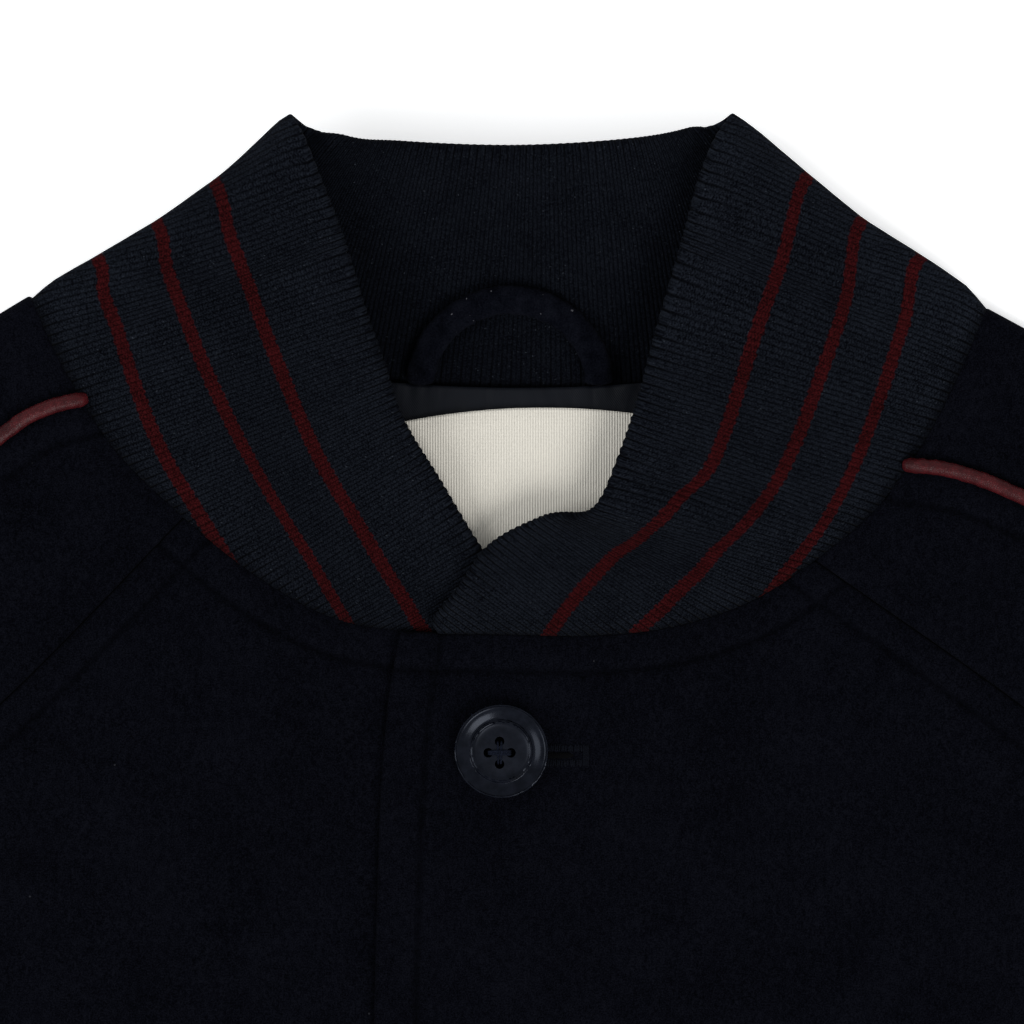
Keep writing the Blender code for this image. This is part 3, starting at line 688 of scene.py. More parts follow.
def make_floor_paint():
    """A pale, matt studio surface."""
    finish = Finish("floor_paint", Specular_IOR_Level=0.1, Emission_Color=(1, 1, 1, 1), Emission_Strength=0.5)
    mottle = finish.noise(40.0, 2.0)
    tone = finish.blend((0.86, 0.86, 0.86), (0.90, 0.90, 0.90), mottle)
    return finish.wear(Base_Color=tone, Roughness=0.85 + mottle * 0.05)


def place(x, y, z):
    """The point in the frame, in metres."""
    return Vector((x / 1000, (y - middle_y) / 1000, z / 1000))


def add(name, data):
    """A new thing in the scene."""
    thing = bpy.data.objects.new(name, data)
    bpy.context.scene.collection.objects.link(thing)
    return thing


def mesh_of(name, shape):
    """The mesh of a shape, which is used up."""
    mesh = bpy.data.meshes.new(name)
    shape.to_mesh(mesh)
    shape.free()
    return mesh


def put(name, shape, material, nodes):
    """A piece in the scene from a shape in millimetres, in place of these CAD nodes."""
    shape.transform(Matrix.Translation((0, -middle_y / 1000, 0)) @ TO_METRES)
    mesh = mesh_of(name, shape)
    mesh.shade_smooth()
    mesh.materials.append(material)
    piece = add(name, mesh)
    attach(piece, "root")
    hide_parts(*nodes)
    return piece


def away_from(plan, line, steps=160):
    """How far each place is from a line, and how far along the line it is nearest."""
    knots = np.array([line(step / steps)[:2] for step in range(steps + 1)])
    starts, runs = knots[:-1], np.diff(knots, axis=0)
    lengths = np.linalg.norm(runs, axis=1)
    marks = np.concatenate(([0.0], np.cumsum(lengths)))[:-1]
    apart = plan[:, None, :] - starts[None, :, :]
    share = np.clip((apart * runs).sum(axis=2) / (lengths**2), 0, 1)
    gaps = np.linalg.norm(apart - share[:, :, None] * runs[None, :, :], axis=2)
    nearest = gaps.argmin(axis=1)
    rows = np.arange(len(plan))
    return gaps[rows, nearest], marks[nearest] + share[rows, nearest] * lengths[nearest]


def folds(plan, table, sign=1, ease=1.0):
    """How high soft folds lift or sink each place."""
    height = np.zeros(len(plan))
    for x0, y0, x1, y1, reach, rise in table:
        start = np.array((sign * x0, y0), float)
        run = np.array((sign * x1, y1)) - start
        share = np.clip(((plan - start) @ run) / (run @ run), 0, 1)
        beside = np.linalg.norm(plan - start - share[:, None] * run, axis=1)
        fade = 0.25 + 0.75 * np.sin(np.pi * (0.08 + 0.84 * share))
        height += rise * fade * np.exp(-((beside / reach) ** 2))
    return height * ease


def unevenness(plan, size, rise, seed):
    """Soft irregular swells of cloth."""
    return np.array([noise.noise(Vector((x / size, y / size, seed))) * rise for x, y in plan])


def seam_spacing(length, step):
    """Shares across a panel: close near both seams and at the topstitching, wide between."""
    near = [0, 0.35, 0.8, 1.4, 2.2, 3.4, 5.0, 6.6, 7.6, 8.4, 9.2, 10.0, 11.0, 12.6, 15.0, 18.0]
    count = max(int((length - 2 * near[-1]) / step), 1)
    middle = [near[-1] + (length - 2 * near[-1]) * index / count for index in range(1, count)]
    places = near + middle + [length - distance for distance in reversed(near)]
    return [distance / length for distance in places]


class Sheet:
    """A grid of cloth being shaped, in millimetres."""

    def __init__(self, columns, rows, point):
        self.shape = bmesh.new()
        across, along = len(columns) - 1, len(rows) - 1
        bmesh.ops.create_grid(self.shape, x_segments=across, y_segments=along, size=0.5)
        for vertex in self.shape.verts:
            u = columns[round((vertex.co.x + 0.5) * across)]
            v = rows[round((vertex.co.y + 0.5) * along)]
            vertex.co = Vector(point(u, v))
        self.plan = np.array([vertex.co[:2] for vertex in self.shape.verts])

    def raise_by(self, heights):
        for vertex, height in zip(self.shape.verts, heights):
            vertex.co.z += height

    def stitch(self, name, line):
        """Notes the distance from a seam line and along it, and gives the distance."""
        layer = self.shape.verts.layers.float_vector.new(name)
        away, along = away_from(self.plan, line)
        for vertex, gap, run in zip(self.shape.verts, away, along):
            vertex[layer] = (gap, run, 0)
        return away

    def close(self, name, wall, away, material, slot, nodes):
        """Gives the sheet its wall, thinned round its edges, as a piece."""
        layer = self.shape.verts.layers.deform.verify()
        thin = np.sqrt(np.clip(1 - (1 - np.clip(away / 1.1, 0, 1)) ** 2, 0.06, 1))
        for vertex, share in zip(self.shape.verts, thin):
            vertex[layer][0] = share
        piece = put(name + "_cloth", self.shape, material, nodes)
        piece.vertex_groups.new(name="wall")
        solid = piece.modifiers.new("Wall", "SOLIDIFY")
        solid.thickness = wall / 1000
        solid.offset = 0
        solid.vertex_group = "wall"
        return piece


def seam_relief(away):
    """Cloth drawn down into a seam and standing a little proud beside it."""
    return 0.35 * np.exp(-(((away - 4.5) / 2.6) ** 2)) - 0.35 * np.exp(-((away / 1.6) ** 2))


def stitch_relief(away, distance):
    """The trough of a row of topstitching."""
    beside = 0.16 * np.exp(-(((abs(away - distance) - 3.0) / 1.8) ** 2))
    return beside - 0.45 * np.exp(-(((away - distance) / 1.5) ** 2))


def loft(name, bodies, material, nodes):
    """A piece of closed bodies, each made through columns of places that loop back to their start.

    A body is its places, then its map and its notes if it has them, each by column and row: whether
    it is the outer side, how plump its ribs stand, and its tone, the painted light and shade on it.
    """
    shape = bmesh.new()
    chart = shape.loops.layers.uv.new("knit")
    note = shape.verts.layers.float_vector.new("band")
    for places, uv, band in bodies:
        columns, rows = places.shape[:2]
        places[..., 2] = np.maximum(places[..., 2], 0)
        made = bmesh.ops.create_grid(shape, x_segments=columns - 1, y_segments=rows - 1, size=0.5)["verts"]
        spots = {}
        for vertex in made:
            spot = (round((vertex.co.x + 0.5) * (columns - 1)), round((vertex.co.y + 0.5) * (rows - 1)))
            spots[vertex] = spot
            vertex.co = Vector(places[spot])
            if band is not None:
                vertex[note] = band[spot]
        if uv is not None:
            for face in shape.faces:
                for loop in face.loops:
                    loop[chart].uv = uv[spots[loop.vert]]
    bmesh.ops.remove_doubles(shape, verts=shape.verts, dist=0.004)
    bmesh.ops.recalc_face_normals(shape, faces=shape.faces)
    return put(name, shape, material, nodes)


def unit(vectors):
    return vectors / np.maximum(np.linalg.norm(vectors, axis=-1, keepdims=True), 1e-9)


def ribbed_band(name, middle, wales, deep, facing, material, nodes, ring=False, edge=None, pressed=1.0,
                even=1.0, tone=1.0, steps_in=2):
    """A doubled band of rib knit round its middle surface, a column of places for each step.

    wales counts pairs at each place, deep is the distance from the fold at the last row as it was
    knitted, and edge the same as it lies.
    """
    edge = deep if edge is None else edge
    along = unit(np.gradient(middle, axis=1))
    if ring:
        wrapped = np.concatenate((middle[-2:-1], middle, middle[1:2]))
        across = unit(np.gradient(wrapped, axis=0)[1:-1])
    else:
        across = unit(np.gradient(middle, axis=0))
    normal = unit(np.cross(across, along)) * facing
    wave = -np.cos(2 * np.pi * wales)
    wobble = 0.9 + 0.16 * np.cos(wales * 2.4) * np.cos(wales * 0.61 + 1.3)
    foot = edge[:, :1] - edge
    plump = np.clip(np.exp(-((edge / 7.0) ** 2)) + np.exp(-((foot / 7.5) ** 2)), 0, 1)
    puff = wave * wobble * (PUFF + (EDGE_PUFF - PUFF) * np.exp(-((edge / 4.0) ** 2)) + 0.12 * plump) / 2
    rows = middle.shape[1]
    thick = np.full(middle.shape[:2], RIB_WALL / 2) + RIB_END_SWELL * np.exp(-((edge / 5.0) ** 2))
    thick *= smooth(np.arange(rows) / 2.5)[None, :] * 0.55 + 0.45
    thick *= np.reshape(pressed, (-1, 1))
    puff *= np.reshape(even, (-1, 1))
    # tone is painted light and shade, noted on the band for the material
    tone = np.broadcast_to(tone, thick.shape)
    if ring:
        puff[-1] = puff[0]
    else:
        reach = np.clip(np.minimum(np.arange(len(middle)), np.arange(len(middle))[::-1]) / 5.0, 0, 1)
        thick *= np.sqrt(1 - (1 - reach) ** 2)[:, None]
        puff *= reach[:, None]
    loops, charts, bands = [], [], []

    def add(row, sink, lift, side):
        depth = (thick + puff)[:, row, None]
        loops.append(middle[:, row] + (along[:, row] * sink + normal[:, row] * lift) * depth)
        charts.append(np.stack((wales[:, row], deep[:, row]), axis=1))
        bands.append(np.stack((np.full(len(middle), side), plump[:, row], tone[:, row]), axis=1))

    add(0, 0, 0, 1.0)
    for row in range(rows):
        add(row, 0, 1, 1.0)
    for angle in (35, 65, 90, 115, 145):
        turn = math.radians(angle)
        add(rows - 1, math.sin(turn), math.cos(turn), 1.0 if angle < 90 else 0.0)
    for row in range(rows - 1, -1, -steps_in):
        add(row, 0, -1, 0.0)
    add(0, 0, 0, 0.0)
    body = [np.stack(layer, axis=1) for layer in (loops, charts, bands)]
    return loft(name + "_knit", [body], material, nodes)


def soft_mean(values, reach):
    """Values along a run, each the mean of its neighbours."""
    padded = np.pad(values, reach, mode="edge")
    return np.convolve(padded, np.ones(2 * reach + 1) / (2 * reach + 1), mode="valid")


def collar_lines():
    """The collar's rib lines as finely as its wales: seam distance, foot, top and layer."""
    runs = {"right": (0, right_half.neck), "back": (right_half.neck.length, back_neck)}
    runs["left"] = (right_half.neck.length + back_neck.length, left_half.neck)
    corners = (runs["back"][0], runs["left"][0])

    def seam_distance(run, share):
        start, path = runs[run]
        return start + path.length * (1 - share if run == "left" else share)

    def seam_point(distance):
        if distance < corners[0]:
            return right_half.neck.at(distance)
        if distance < corners[1]:
            return back_neck.at(distance - corners[0])
        return left_half.neck.at(left_half.neck.length - (distance - corners[1]))

    rows = Path([(seam_distance(run, share), *top) for run, share, *top in COLLAR_ROWS])
    spans = len(COLLAR_ROWS) - 1

    def line(step):
        index = min(int(step), spans - 1)
        distance, *top = rows.between(index, step - index)
        low = seam_point(distance)
        if distance < corners[0]:
            layer, side = 1, "right"
        elif distance > corners[1]:
            layer, side = 1, "left"
        else:
            layer, side = -1, None
        depth = min(abs(distance - corner) for corner in corners)
        rib = (Vector(top[:2]) - low).normalized()
        seam = (seam_point(distance + 0.5) - seam_point(distance - 0.5)).normalized()
        slant = abs(rib.cross(seam)) if depth > 1 else 1
        low = low - rib * (TUCK / slant)
        level = band_level(layer, depth, side, low.x)
        return distance, (low.x, low.y, level), tuple(top)

    trial = [line(spans * index / COLLAR_LINES_TRIED) for index in range(COLLAR_LINES_TRIED + 1)]
    seam_steps = np.abs(np.diff([distance for distance, _, _ in trial]))
    top_steps = np.linalg.norm(np.diff(np.array([top for _, _, top in trial]), axis=0), axis=1)
    run = np.concatenate(([0.0], np.cumsum(np.maximum(seam_steps, top_steps * 0.92))))
    count = int(run[-1] / PAIR_WIDTH * COLUMNS_PER_PAIR)
    steps = np.interp(np.linspace(0, run[-1], count), run, np.linspace(0, spans, len(run)))
    return [line(step) for step in steps], corners


def band_level(layer, depth, side, x):
    """The middle of a rib band's wall, round its folds and over or under the other end."""
    level = (RIB_FRONT_LEVEL + RIB_BACK_LEVEL) / 2 + layer * rolled(depth)
    return level + (lap_change(side, x, RIB_LAP_STEP) if side else 0)


def make_collar(material):
    """The rib band that stands on the neck seam, tapered into it at both ends."""
    lines, corners = collar_lines()
    distance = np.array([line[0] for line in lines])
    low = np.array([line[1] for line in lines])
    high = np.array([line[2] for line in lines])
    length = np.linalg.norm(high - low, axis=1)
    reach = 1 - (RIB_WALL / 2 + 0.5) / np.maximum(length, 3.0)
    share = np.linspace(0, 1, COLLAR_BANDS) ** 0.92
    v = share[None, :] * reach[:, None]
    on_front = (distance < corners[0]) | (distance > corners[1])
    jitter = np.array([0.16 * noise.noise(Vector((run / 1.7, 0, 3.1))) for run in distance]) * on_front
    low[:, :2] += unit(high - low)[:, :2] * jitter[:, None]
    middle = np.empty((len(lines), len(share), 3))
    middle[..., :2] = low[:, None, :2] + (high - low)[:, None, :2] * v[..., None]
    middle[..., 2] = low[:, None, 2] + (high - low)[:, None, 2] * v**COLLAR_CURL
    from_shoulder = []
    for corner, side, sign in zip(corners, ("right", "left"), (-1, 1)):
        at = abs(distance - corner).argmin()
        run = unit(high[at] - low[at])
        steps = np.linspace(0, 1, 101)
        bow = soft_mean(np.interp(steps, *zip(*SHOULDER_BOW[side])), 4)
        bow = np.interp(v, steps, bow) * np.exp(-(((distance - corner) / 11.0) ** 2))[:, None]
        middle[..., 0] += bow * sign * run[1] / np.hypot(*run[:2])
        middle[..., 1] -= bow * sign * run[0] / np.hypot(*run[:2])
        fold = straight(low[at], high[at])
        from_shoulder.append(away_from(middle[..., :2].reshape(-1, 2), fold)[0].reshape(v.shape))
    plan = middle[..., :2].reshape(-1, 2)
    lift = folds(plan, COLLAR_FOLDS).reshape(v.shape) * on_front[:, None]
    middle[..., 2] += lift * np.sin(np.pi * np.clip(v, 0, 1) ** 0.8) ** 0.5
    extra = np.zeros(len(lines))
    for corner, sign in zip(corners, (1, -1)):
        gap = (distance - corner) * sign
        extra += sign * SHOULDER_EXTRA_PAIRS * np.clip(1 + gap / 14.0, 0, 1) * (gap < 0)
        extra += sign * SHOULDER_EXTRA_PAIRS * np.clip(1 - gap / 112.0, 0, 1) * (gap >= 0)
    wales = distance[:, None] / PAIR_WIDTH + extra[:, None] * v
    edge = length[:, None] * (1 - v)
    right_share = distance / right_half.neck.length
    left_share = (corners[1] + left_half.neck.length - distance) / left_half.neck.length
    eased = []
    for depth in (1, 2, 3):
        near = np.interp(right_share, *zip(*[(row[0], row[depth]) for row in EASED_IN["right"]]))
        far = np.interp(left_share, *zip(*[(row[0], row[depth]) for row in EASED_IN["left"]]))
        eased.append(soft_mean(np.where(distance < (corners[0] + corners[1]) / 2, near, far), 22)[:, None])
    first, second, third = STRIPE_MIDDLES
    deep = edge + eased[0] + (eased[1] - eased[0]) * smooth((edge - first) / (second - first))
    deep += (eased[2] - eased[1]) * smooth((edge - second) / (third - second))
    gap = np.minimum(abs(distance - corners[0]), abs(distance - corners[1]))
    pressed = 1 - 0.6 * np.exp(-((gap / 4.5) ** 2))
    even = np.where(on_front, 1 - 0.8 * np.exp(-((gap / 5.0) ** 2)), 0.3)
    # Painted light: rim lightens the knit along the folds over the shoulders
    rim = 0.30 * np.exp(-((np.minimum(*from_shoulder) / 8.0) ** 2))
    # Painted shade: the front is darker across the middle of the band, on the right half, and at its foot by
    # the seam
    front_painted_shading = 1 - 0.16 * np.exp(-(((edge - 30) / 17) ** 2)) + rim
    front_painted_shading -= 0.08 * (distance < corners[0])[:, None]
    front_painted_shading *= 1 - 0.6 * np.exp(-(((length[:, None] - edge) / 1.3) ** 2))
    # Painted shade: the inside of the back is darker towards its foot and towards the wearer's right
    back_painted_shade = 0.66 + middle[..., 0] * 0.0022 - 0.30 * (1 - v) ** 1.5
    tone = np.where(on_front[:, None], front_painted_shading, back_painted_shade)
    return ribbed_band("collar", middle, wales, deep, -1, material, ["collar"], edge=edge, pressed=pressed,
                       even=even, tone=tone)


def make_front(half, edge, neck_start, wool):
    """A front, from its centre edge out to the side seam and raglan, hem to neck."""
    outer = half.body_seam(half.front_raglan)
    neck = half.neck.stretch(neck_start, RAGLAN_SHARE[half.side])
    hem = straight(edge(0), outer(0))
    armpit = BELOW_STEPS / (BELOW_STEPS + RAGLAN_STEPS)

    def point(u, v):
        at = panel(hem, neck, edge, outer, u, v)
        below_arm = 1 - smooth((v - armpit) / (1 - armpit) * 3)
        drop = seam_drop((outer(v) - at).length) * below_arm
        return (*at, FRONT_LEVEL + lap_change(half.side, at.x, LAP_STEP) - drop)

    cloth = Sheet(seam_spacing(230, 4.2), seam_spacing(550, 4.6), point)
    to_neck = cloth.stitch("neck_line", neck)
    to_raglan = cloth.stitch("raglan_line", half.front_raglan.stretch())
    to_edge = cloth.stitch("edge_line", edge)
    to_side = away_from(cloth.plan, half.side_seam.stretch())[0]
    to_hem = away_from(cloth.plan, hem)[0]
    calm = smooth((np.minimum(to_neck, to_hem) - 8) / 22)
    calm *= smooth((abs(cloth.plan[:, 0] - BUTTON_LINE_X) - 27) / 20)
    cloth.raise_by((folds(cloth.plan, FRONT_FOLDS) + unevenness(cloth.plan, 38, 0.55, 1.7)) * calm)
    cloth.raise_by(seam_relief(to_neck) + seam_relief(to_raglan) + stitch_relief(to_neck, NECK_STITCH))
    cloth.raise_by(stitch_relief(to_raglan, RAGLAN_STITCH) + seam_relief(to_hem))
    if half.side == "left":
        cloth.raise_by(stitch_relief(to_edge, EDGE_STITCH))
    away = np.minimum.reduce((to_neck, to_raglan, to_edge, to_side, to_hem))
    name = "front_" + half.side
    piece = cloth.close(name, WOOL_WALL, away, wool, "melton_wool", [name])


def make_back(wool):
    right_seam = right_half.body_seam(right_half.back_raglan)
    left_seam = left_half.body_seam(left_half.back_raglan)
    neck = back_neck.stretch(BACK_RAGLAN_SHARE["right"], BACK_RAGLAN_SHARE["left"])
    hem = straight(right_seam(0), left_seam(0))

    def point(u, v):
        return (*panel(hem, neck, right_seam, left_seam, u, v), BACK_LEVEL)

    cloth = Sheet(seam_spacing(500, 9), seam_spacing(600, 9), point)
    to_neck = cloth.stitch("neck_line", neck)
    seams = [away_from(cloth.plan, line)[0] for line in (right_seam, left_seam, hem)]
    away = np.minimum.reduce((to_neck, *seams))
    piece = cloth.close("back", WOOL_WALL, away, wool, "melton_wool", ["back"])


def make_sleeve_front(half, wool):
    """The sleeve between the piping and the front raglan or the under-arm seam."""
    piping = half.piping.stretch()
    seam = half.sleeve_seam(half.front_raglan)
    neck = half.neck.stretch(PIPING_SHARE[half.side], RAGLAN_SHARE[half.side])
    cuff = straight(piping(1), seam(1))
    armpit = RAGLAN_STEPS / (RAGLAN_STEPS + ARM_STEPS)

    def point(u, v):
        at = panel(neck, cuff, piping, seam, u, v)
        below_arm = smooth((v - armpit) / armpit * 3 + 1)
        return (*at, FRONT_LEVEL - seam_drop((seam(v) - at).length) * below_arm)

    cloth = Sheet(seam_spacing(95, 3.6), seam_spacing(640, 4.8), point)
    to_piping = cloth.stitch("piping_line", piping)
    to_neck = away_from(cloth.plan, neck)[0]
    to_raglan = away_from(cloth.plan, half.front_raglan.stretch())[0]
    to_under = away_from(cloth.plan, half.under.stretch())[0]
    to_cuff = away_from(cloth.plan, cuff)[0]
    calm = smooth((np.minimum(to_neck, to_piping) - 4) / 26)
    cloth.raise_by((folds(cloth.plan, SLEEVE_FOLDS, half.sign) + unevenness(cloth.plan, 30, 0.6, 5.1)) * calm)
    seams = (to_piping, to_neck, to_raglan, to_cuff)
    cloth.raise_by(sum(seam_relief(away) for away in seams))
    cloth.raise_by(stitch_relief(to_piping, PIPING_STITCH))
    away = np.minimum.reduce((to_piping, to_neck, to_raglan, to_under, to_cuff))
    name = "sleeve_front_" + half.side
    piece = cloth.close(name, WOOL_WALL, away, wool, "melton_wool", [name])


def make_sleeve_back(half, wool):
    """The sleeve from the piping over the shoulder fold, and under to the back raglan."""
    fold = half.over.stretch()
    piping = half.piping.stretch()
    seam = half.sleeve_seam(half.back_raglan)
    corner = 0 if half.side == "right" else 1
    neck_over = half.neck.stretch(1, PIPING_SHARE[half.side])
    neck_under = back_neck.stretch(corner, BACK_RAGLAN_SHARE[half.side])
    cuff_over = straight(fold(1), piping(1))
    cuff_under = straight(fold(1), seam(1))
    middle = (FRONT_LEVEL + BACK_LEVEL) / 2
    depths = fold_depths()
    over = (1, 0.97, 0.93, 0.88, 0.82, 0.75, 0.67, 0.6, 0.52, 0.44, 0.36, 0.28, 0.2, 0.13)
    under = (0.06, 0.15, 0.25, 0.35, 0.45, 0.55, 0.66, 0.78, 0.9, 0.96, 0.985, 1)
    columns = [(1, share) for share in over] + [(1, -depth) for depth in reversed(depths)]
    columns += [(-1, -depth) for depth in depths[1:]] + [(-1, share) for share in under]

    def point(column, v):
        layer, across = column
        neck, cuff, edge = (neck_over, cuff_over, piping) if layer > 0 else (neck_under, cuff_under, seam)
        share = across if across > 0 else -across / (edge(v) - fold(v)).length
        at = panel(neck, cuff, fold, edge, share, v, start_seam=False)
        depth = -across if across <= 0 else ROLL
        return (*at, middle + layer * rolled(depth))

    cloth = Sheet(columns, seam_spacing(680, 5.2), point)
    on_top = np.array([vertex.co.z > middle + 0.2 for vertex in cloth.shape.verts])
    to_piping = away_from(cloth.plan, piping)[0]
    to_neck = np.where(on_top, away_from(cloth.plan, neck_over)[0], away_from(cloth.plan, neck_under)[0])
    to_seam = away_from(cloth.plan, seam)[0]
    to_cuff = away_from(cloth.plan, cuff_over)[0]
    to_fold = away_from(cloth.plan, fold)[0]
    calm = smooth((np.minimum(np.minimum(to_neck, to_piping), to_fold) - 3) / 14) * on_top
    cloth.raise_by((folds(cloth.plan, SLEEVE_FOLDS, half.sign) + unevenness(cloth.plan, 30, 0.6, 5.1)) * calm)
    cloth.raise_by((seam_relief(to_piping) + seam_relief(to_neck) + seam_relief(to_cuff)) * on_top)
    away = np.where(on_top, np.minimum(to_piping, to_neck), np.minimum(to_seam, to_neck))
    away = np.minimum(away, to_cuff)
    name = "sleeve_back_" + half.side
    piece = cloth.close(name, WOOL_WALL, away, wool, "melton_wool", [name])


def tube(line, steps, sides, width, height, level, ripple=0.0, seed=0.0, round_off=2.0):
    """A closed tube along a line in plan, of this half width and half height, rounded at its ends."""
    spots = np.array([(*line(step / steps)[:2], level(step / steps)) for step in range(steps + 1)])
    run = unit(np.gradient(spots, axis=0))
    beside = unit(np.cross(run, np.array((0.0, 0.0, 1.0))))
    up = unit(np.cross(beside, run))
    ends = np.minimum(np.arange(steps + 1), np.arange(steps + 1)[::-1]) / round_off
    taper = np.sqrt(np.clip(1 - (1 - np.clip(ends, 0, 1)) ** 2, 0, 1))
    rings = []
    for side in range(sides + 1):
        angle = 2 * math.pi * (side % sides) / sides
        swell = np.array([1 + ripple * noise.noise(Vector((step * 0.37, math.cos(angle), seed)))
                          for step in range(steps + 1)])
        size = (taper * swell)[:, None]
        rings.append(spots + beside * math.cos(angle) * width * size + up * math.sin(angle) * height * size)
    return np.stack(rings, axis=1), None, None


def make_piping(half, leather):
    """A leather-covered cord that stands on the seam between the sleeve's two halves."""
    name = "piping_" + half.side
    low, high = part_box(name)
    radius = (high[2] - low[2]) / 2 * 1000
    level = (high[2] + low[2]) / 2 * 1000 - 0.35
    first, second = half.piping.rows[:2]
    start = first + (first - second).normalized() * CORD_LEAD
    whole = Path([start, *half.piping.rows]).stretch(0, 0.998)

    def line(t):
        return whole(t**CORD_SPACING)

    def dive(t):
        risen = smooth(t**CORD_SPACING * half.piping.length / CORD_DIVE)
        return level - radius * CORD_SINK * (1 - float(risen))

    cord = tube(line, CORD_STEPS, 14, radius * 1.12, radius, dive, 0.12, half.sign, 8.0)
    loft(name + "_cord", [cord], leather, [name])


def make_hem_band(rib):
    """One doubled band of rib round the hem, open in front."""
    front_reach = {"right": UNDER_EDGE_X, "left": -LAP_EDGE[-1][0]}
    stations = []
    pitch = PAIR_WIDTH / HEM_COLUMNS_PER_PAIR
    for x in np.arange(front_reach["right"], -BODY_HALF_WIDTH + ROLL, -pitch):
        stations.append(("right", 1, x))
    turn = np.linspace(0, math.pi, 15)[1:-1]
    for angle in turn:
        stations.append((None, math.cos(angle), -BODY_HALF_WIDTH + ROLL * (1 - math.sin(angle))))
    for x in np.arange(-BODY_HALF_WIDTH + ROLL, BODY_HALF_WIDTH - ROLL, pitch):
        stations.append((None, -1, x))
    for angle in turn:
        stations.append((None, -math.cos(angle), BODY_HALF_WIDTH - ROLL * (1 - math.sin(angle))))
    for x in np.arange(BODY_HALF_WIDTH - ROLL, -front_reach["left"], -pitch):
        stations.append(("left", 1, x))
    middle_level = (RIB_FRONT_LEVEL + RIB_BACK_LEVEL) / 2
    top = HEM_SEAM_Y + TUCK
    bottom = HEM_END_Y + RIB_WALL / 2 + RIB_END_SWELL
    rows = TRIM_ROWS
    middle = np.empty((len(stations), rows, 3))
    for index, (side, layer, x) in enumerate(stations):
        level = middle_level + ROLL * layer + (lap_change(side, x, RIB_LAP_STEP) if side else 0)
        for row in range(rows):
            v = row / (rows - 1)
            narrow = 1 + (HEM_HALF_WIDTH / BODY_HALF_WIDTH - 1) * v
            middle[index, row] = (x * narrow, top + (bottom - top) * v, level)
    steps = np.linalg.norm(np.diff(middle[:, 0], axis=0), axis=1)
    wales = np.concatenate(([0.0], np.cumsum(steps))) / PAIR_WIDTH
    deep = middle[..., 1] - HEM_END_Y
    wales = np.repeat(wales[:, None], rows, axis=1)
    piece = ribbed_band("hem_band", middle, wales, deep, 1, rib, ["hem_band"], steps_in=TRIM_STEPS_IN)


def make_cuff(half, rib):
    """A doubled band of rib round the sleeve's end."""
    over = half.over.rows[-1]
    under = half.under.rows[-1]
    across = (over - under).normalized()
    down = Vector((across.y, -across.x)) * half.sign
    centre = (over + under) / 2
    straight_half = CUFF_SEAM_HALF - ROLL
    loop_length = 4 * straight_half + 2 * math.pi * ROLL
    count = round(loop_length / PAIR_WIDTH)
    columns = count * CUFF_COLUMNS_PER_PAIR
    middle_level = (RIB_FRONT_LEVEL + RIB_BACK_LEVEL) / 2
    rows = TRIM_ROWS
    middle = np.empty((columns + 1, rows, 3))
    for index in range(columns + 1):
        run = loop_length * (index / columns)
        if run < 2 * straight_half:
            offset, height = straight_half - run, -ROLL
        elif run < 2 * straight_half + math.pi * ROLL:
            angle = (run - 2 * straight_half) / ROLL
            offset, height = -straight_half - ROLL * math.sin(angle), -ROLL * math.cos(angle)
        elif run < 4 * straight_half + math.pi * ROLL:
            offset, height = run - 3 * straight_half - math.pi * ROLL, ROLL
        else:
            angle = (run - 4 * straight_half - math.pi * ROLL) / ROLL
            offset, height = straight_half + ROLL * math.sin(angle), ROLL * math.cos(angle)
        for row in range(rows):
            v = row / (rows - 1)
            narrow = 1 + (CUFF_END_HALF / CUFF_SEAM_HALF - 1) * v
            length = (CUFF_LENGTH - RIB_WALL / 2 - RIB_END_SWELL + TUCK) * v - TUCK
            spot = centre + across * (offset * narrow) + down * length
            middle[index, row] = (*spot, middle_level + height)
    wales = np.repeat((np.arange(columns + 1) / CUFF_COLUMNS_PER_PAIR)[:, None], rows, axis=1)
    deep = np.repeat((CUFF_LENGTH * (1 - np.linspace(0, 1, rows)))[None, :], columns + 1, axis=0)
    name = "cuff_" + half.side
    piece = ribbed_band(name, middle, wales, deep, half.sign, rib, [name], ring=True,
                        steps_in=TRIM_STEPS_IN)


def make_neck_lining(satin):
    """The lining that shows inside the neck, puckered where the collar's seam draws it in."""
    level = WOOL_WALL + CLEAR + LINING_WALL / 2
    low = straight((-LINING_HALF_WIDTH, LINING_END_Y), (LINING_HALF_WIDTH, LINING_END_Y))
    reach = LINING_HALF_WIDTH / back_neck.length
    seam = back_neck.stretch(0.5 - reach, 0.5 + reach)

    def point(u, v):
        return (*low(u).lerp(seam(u) + Vector((0, 0.45)), v), level)

    cloth = Sheet([step / 110 for step in range(111)], [step / 50 for step in range(51)], point)
    to_seam = away_from(cloth.plan, seam)[0]
    pulled = np.exp(-to_seam / 5.0)
    puckers = unevenness(cloth.plan * (1, 0.3), 2.6, 0.5, 3.3) * pulled
    cloth.raise_by(puckers + unevenness(cloth.plan, 12, 0.12, 2.2))
    name = "neck_lining"
    piece = cloth.close(name, LINING_WALL, to_seam + 0.5, satin, "lining_satin", [name])


def label_top(x):
    """How far up the label reaches at a place across it."""
    high_x, high_y = LABEL_HIGH_POINT
    return high_y - LABEL_BOW * (x - high_x) ** 2


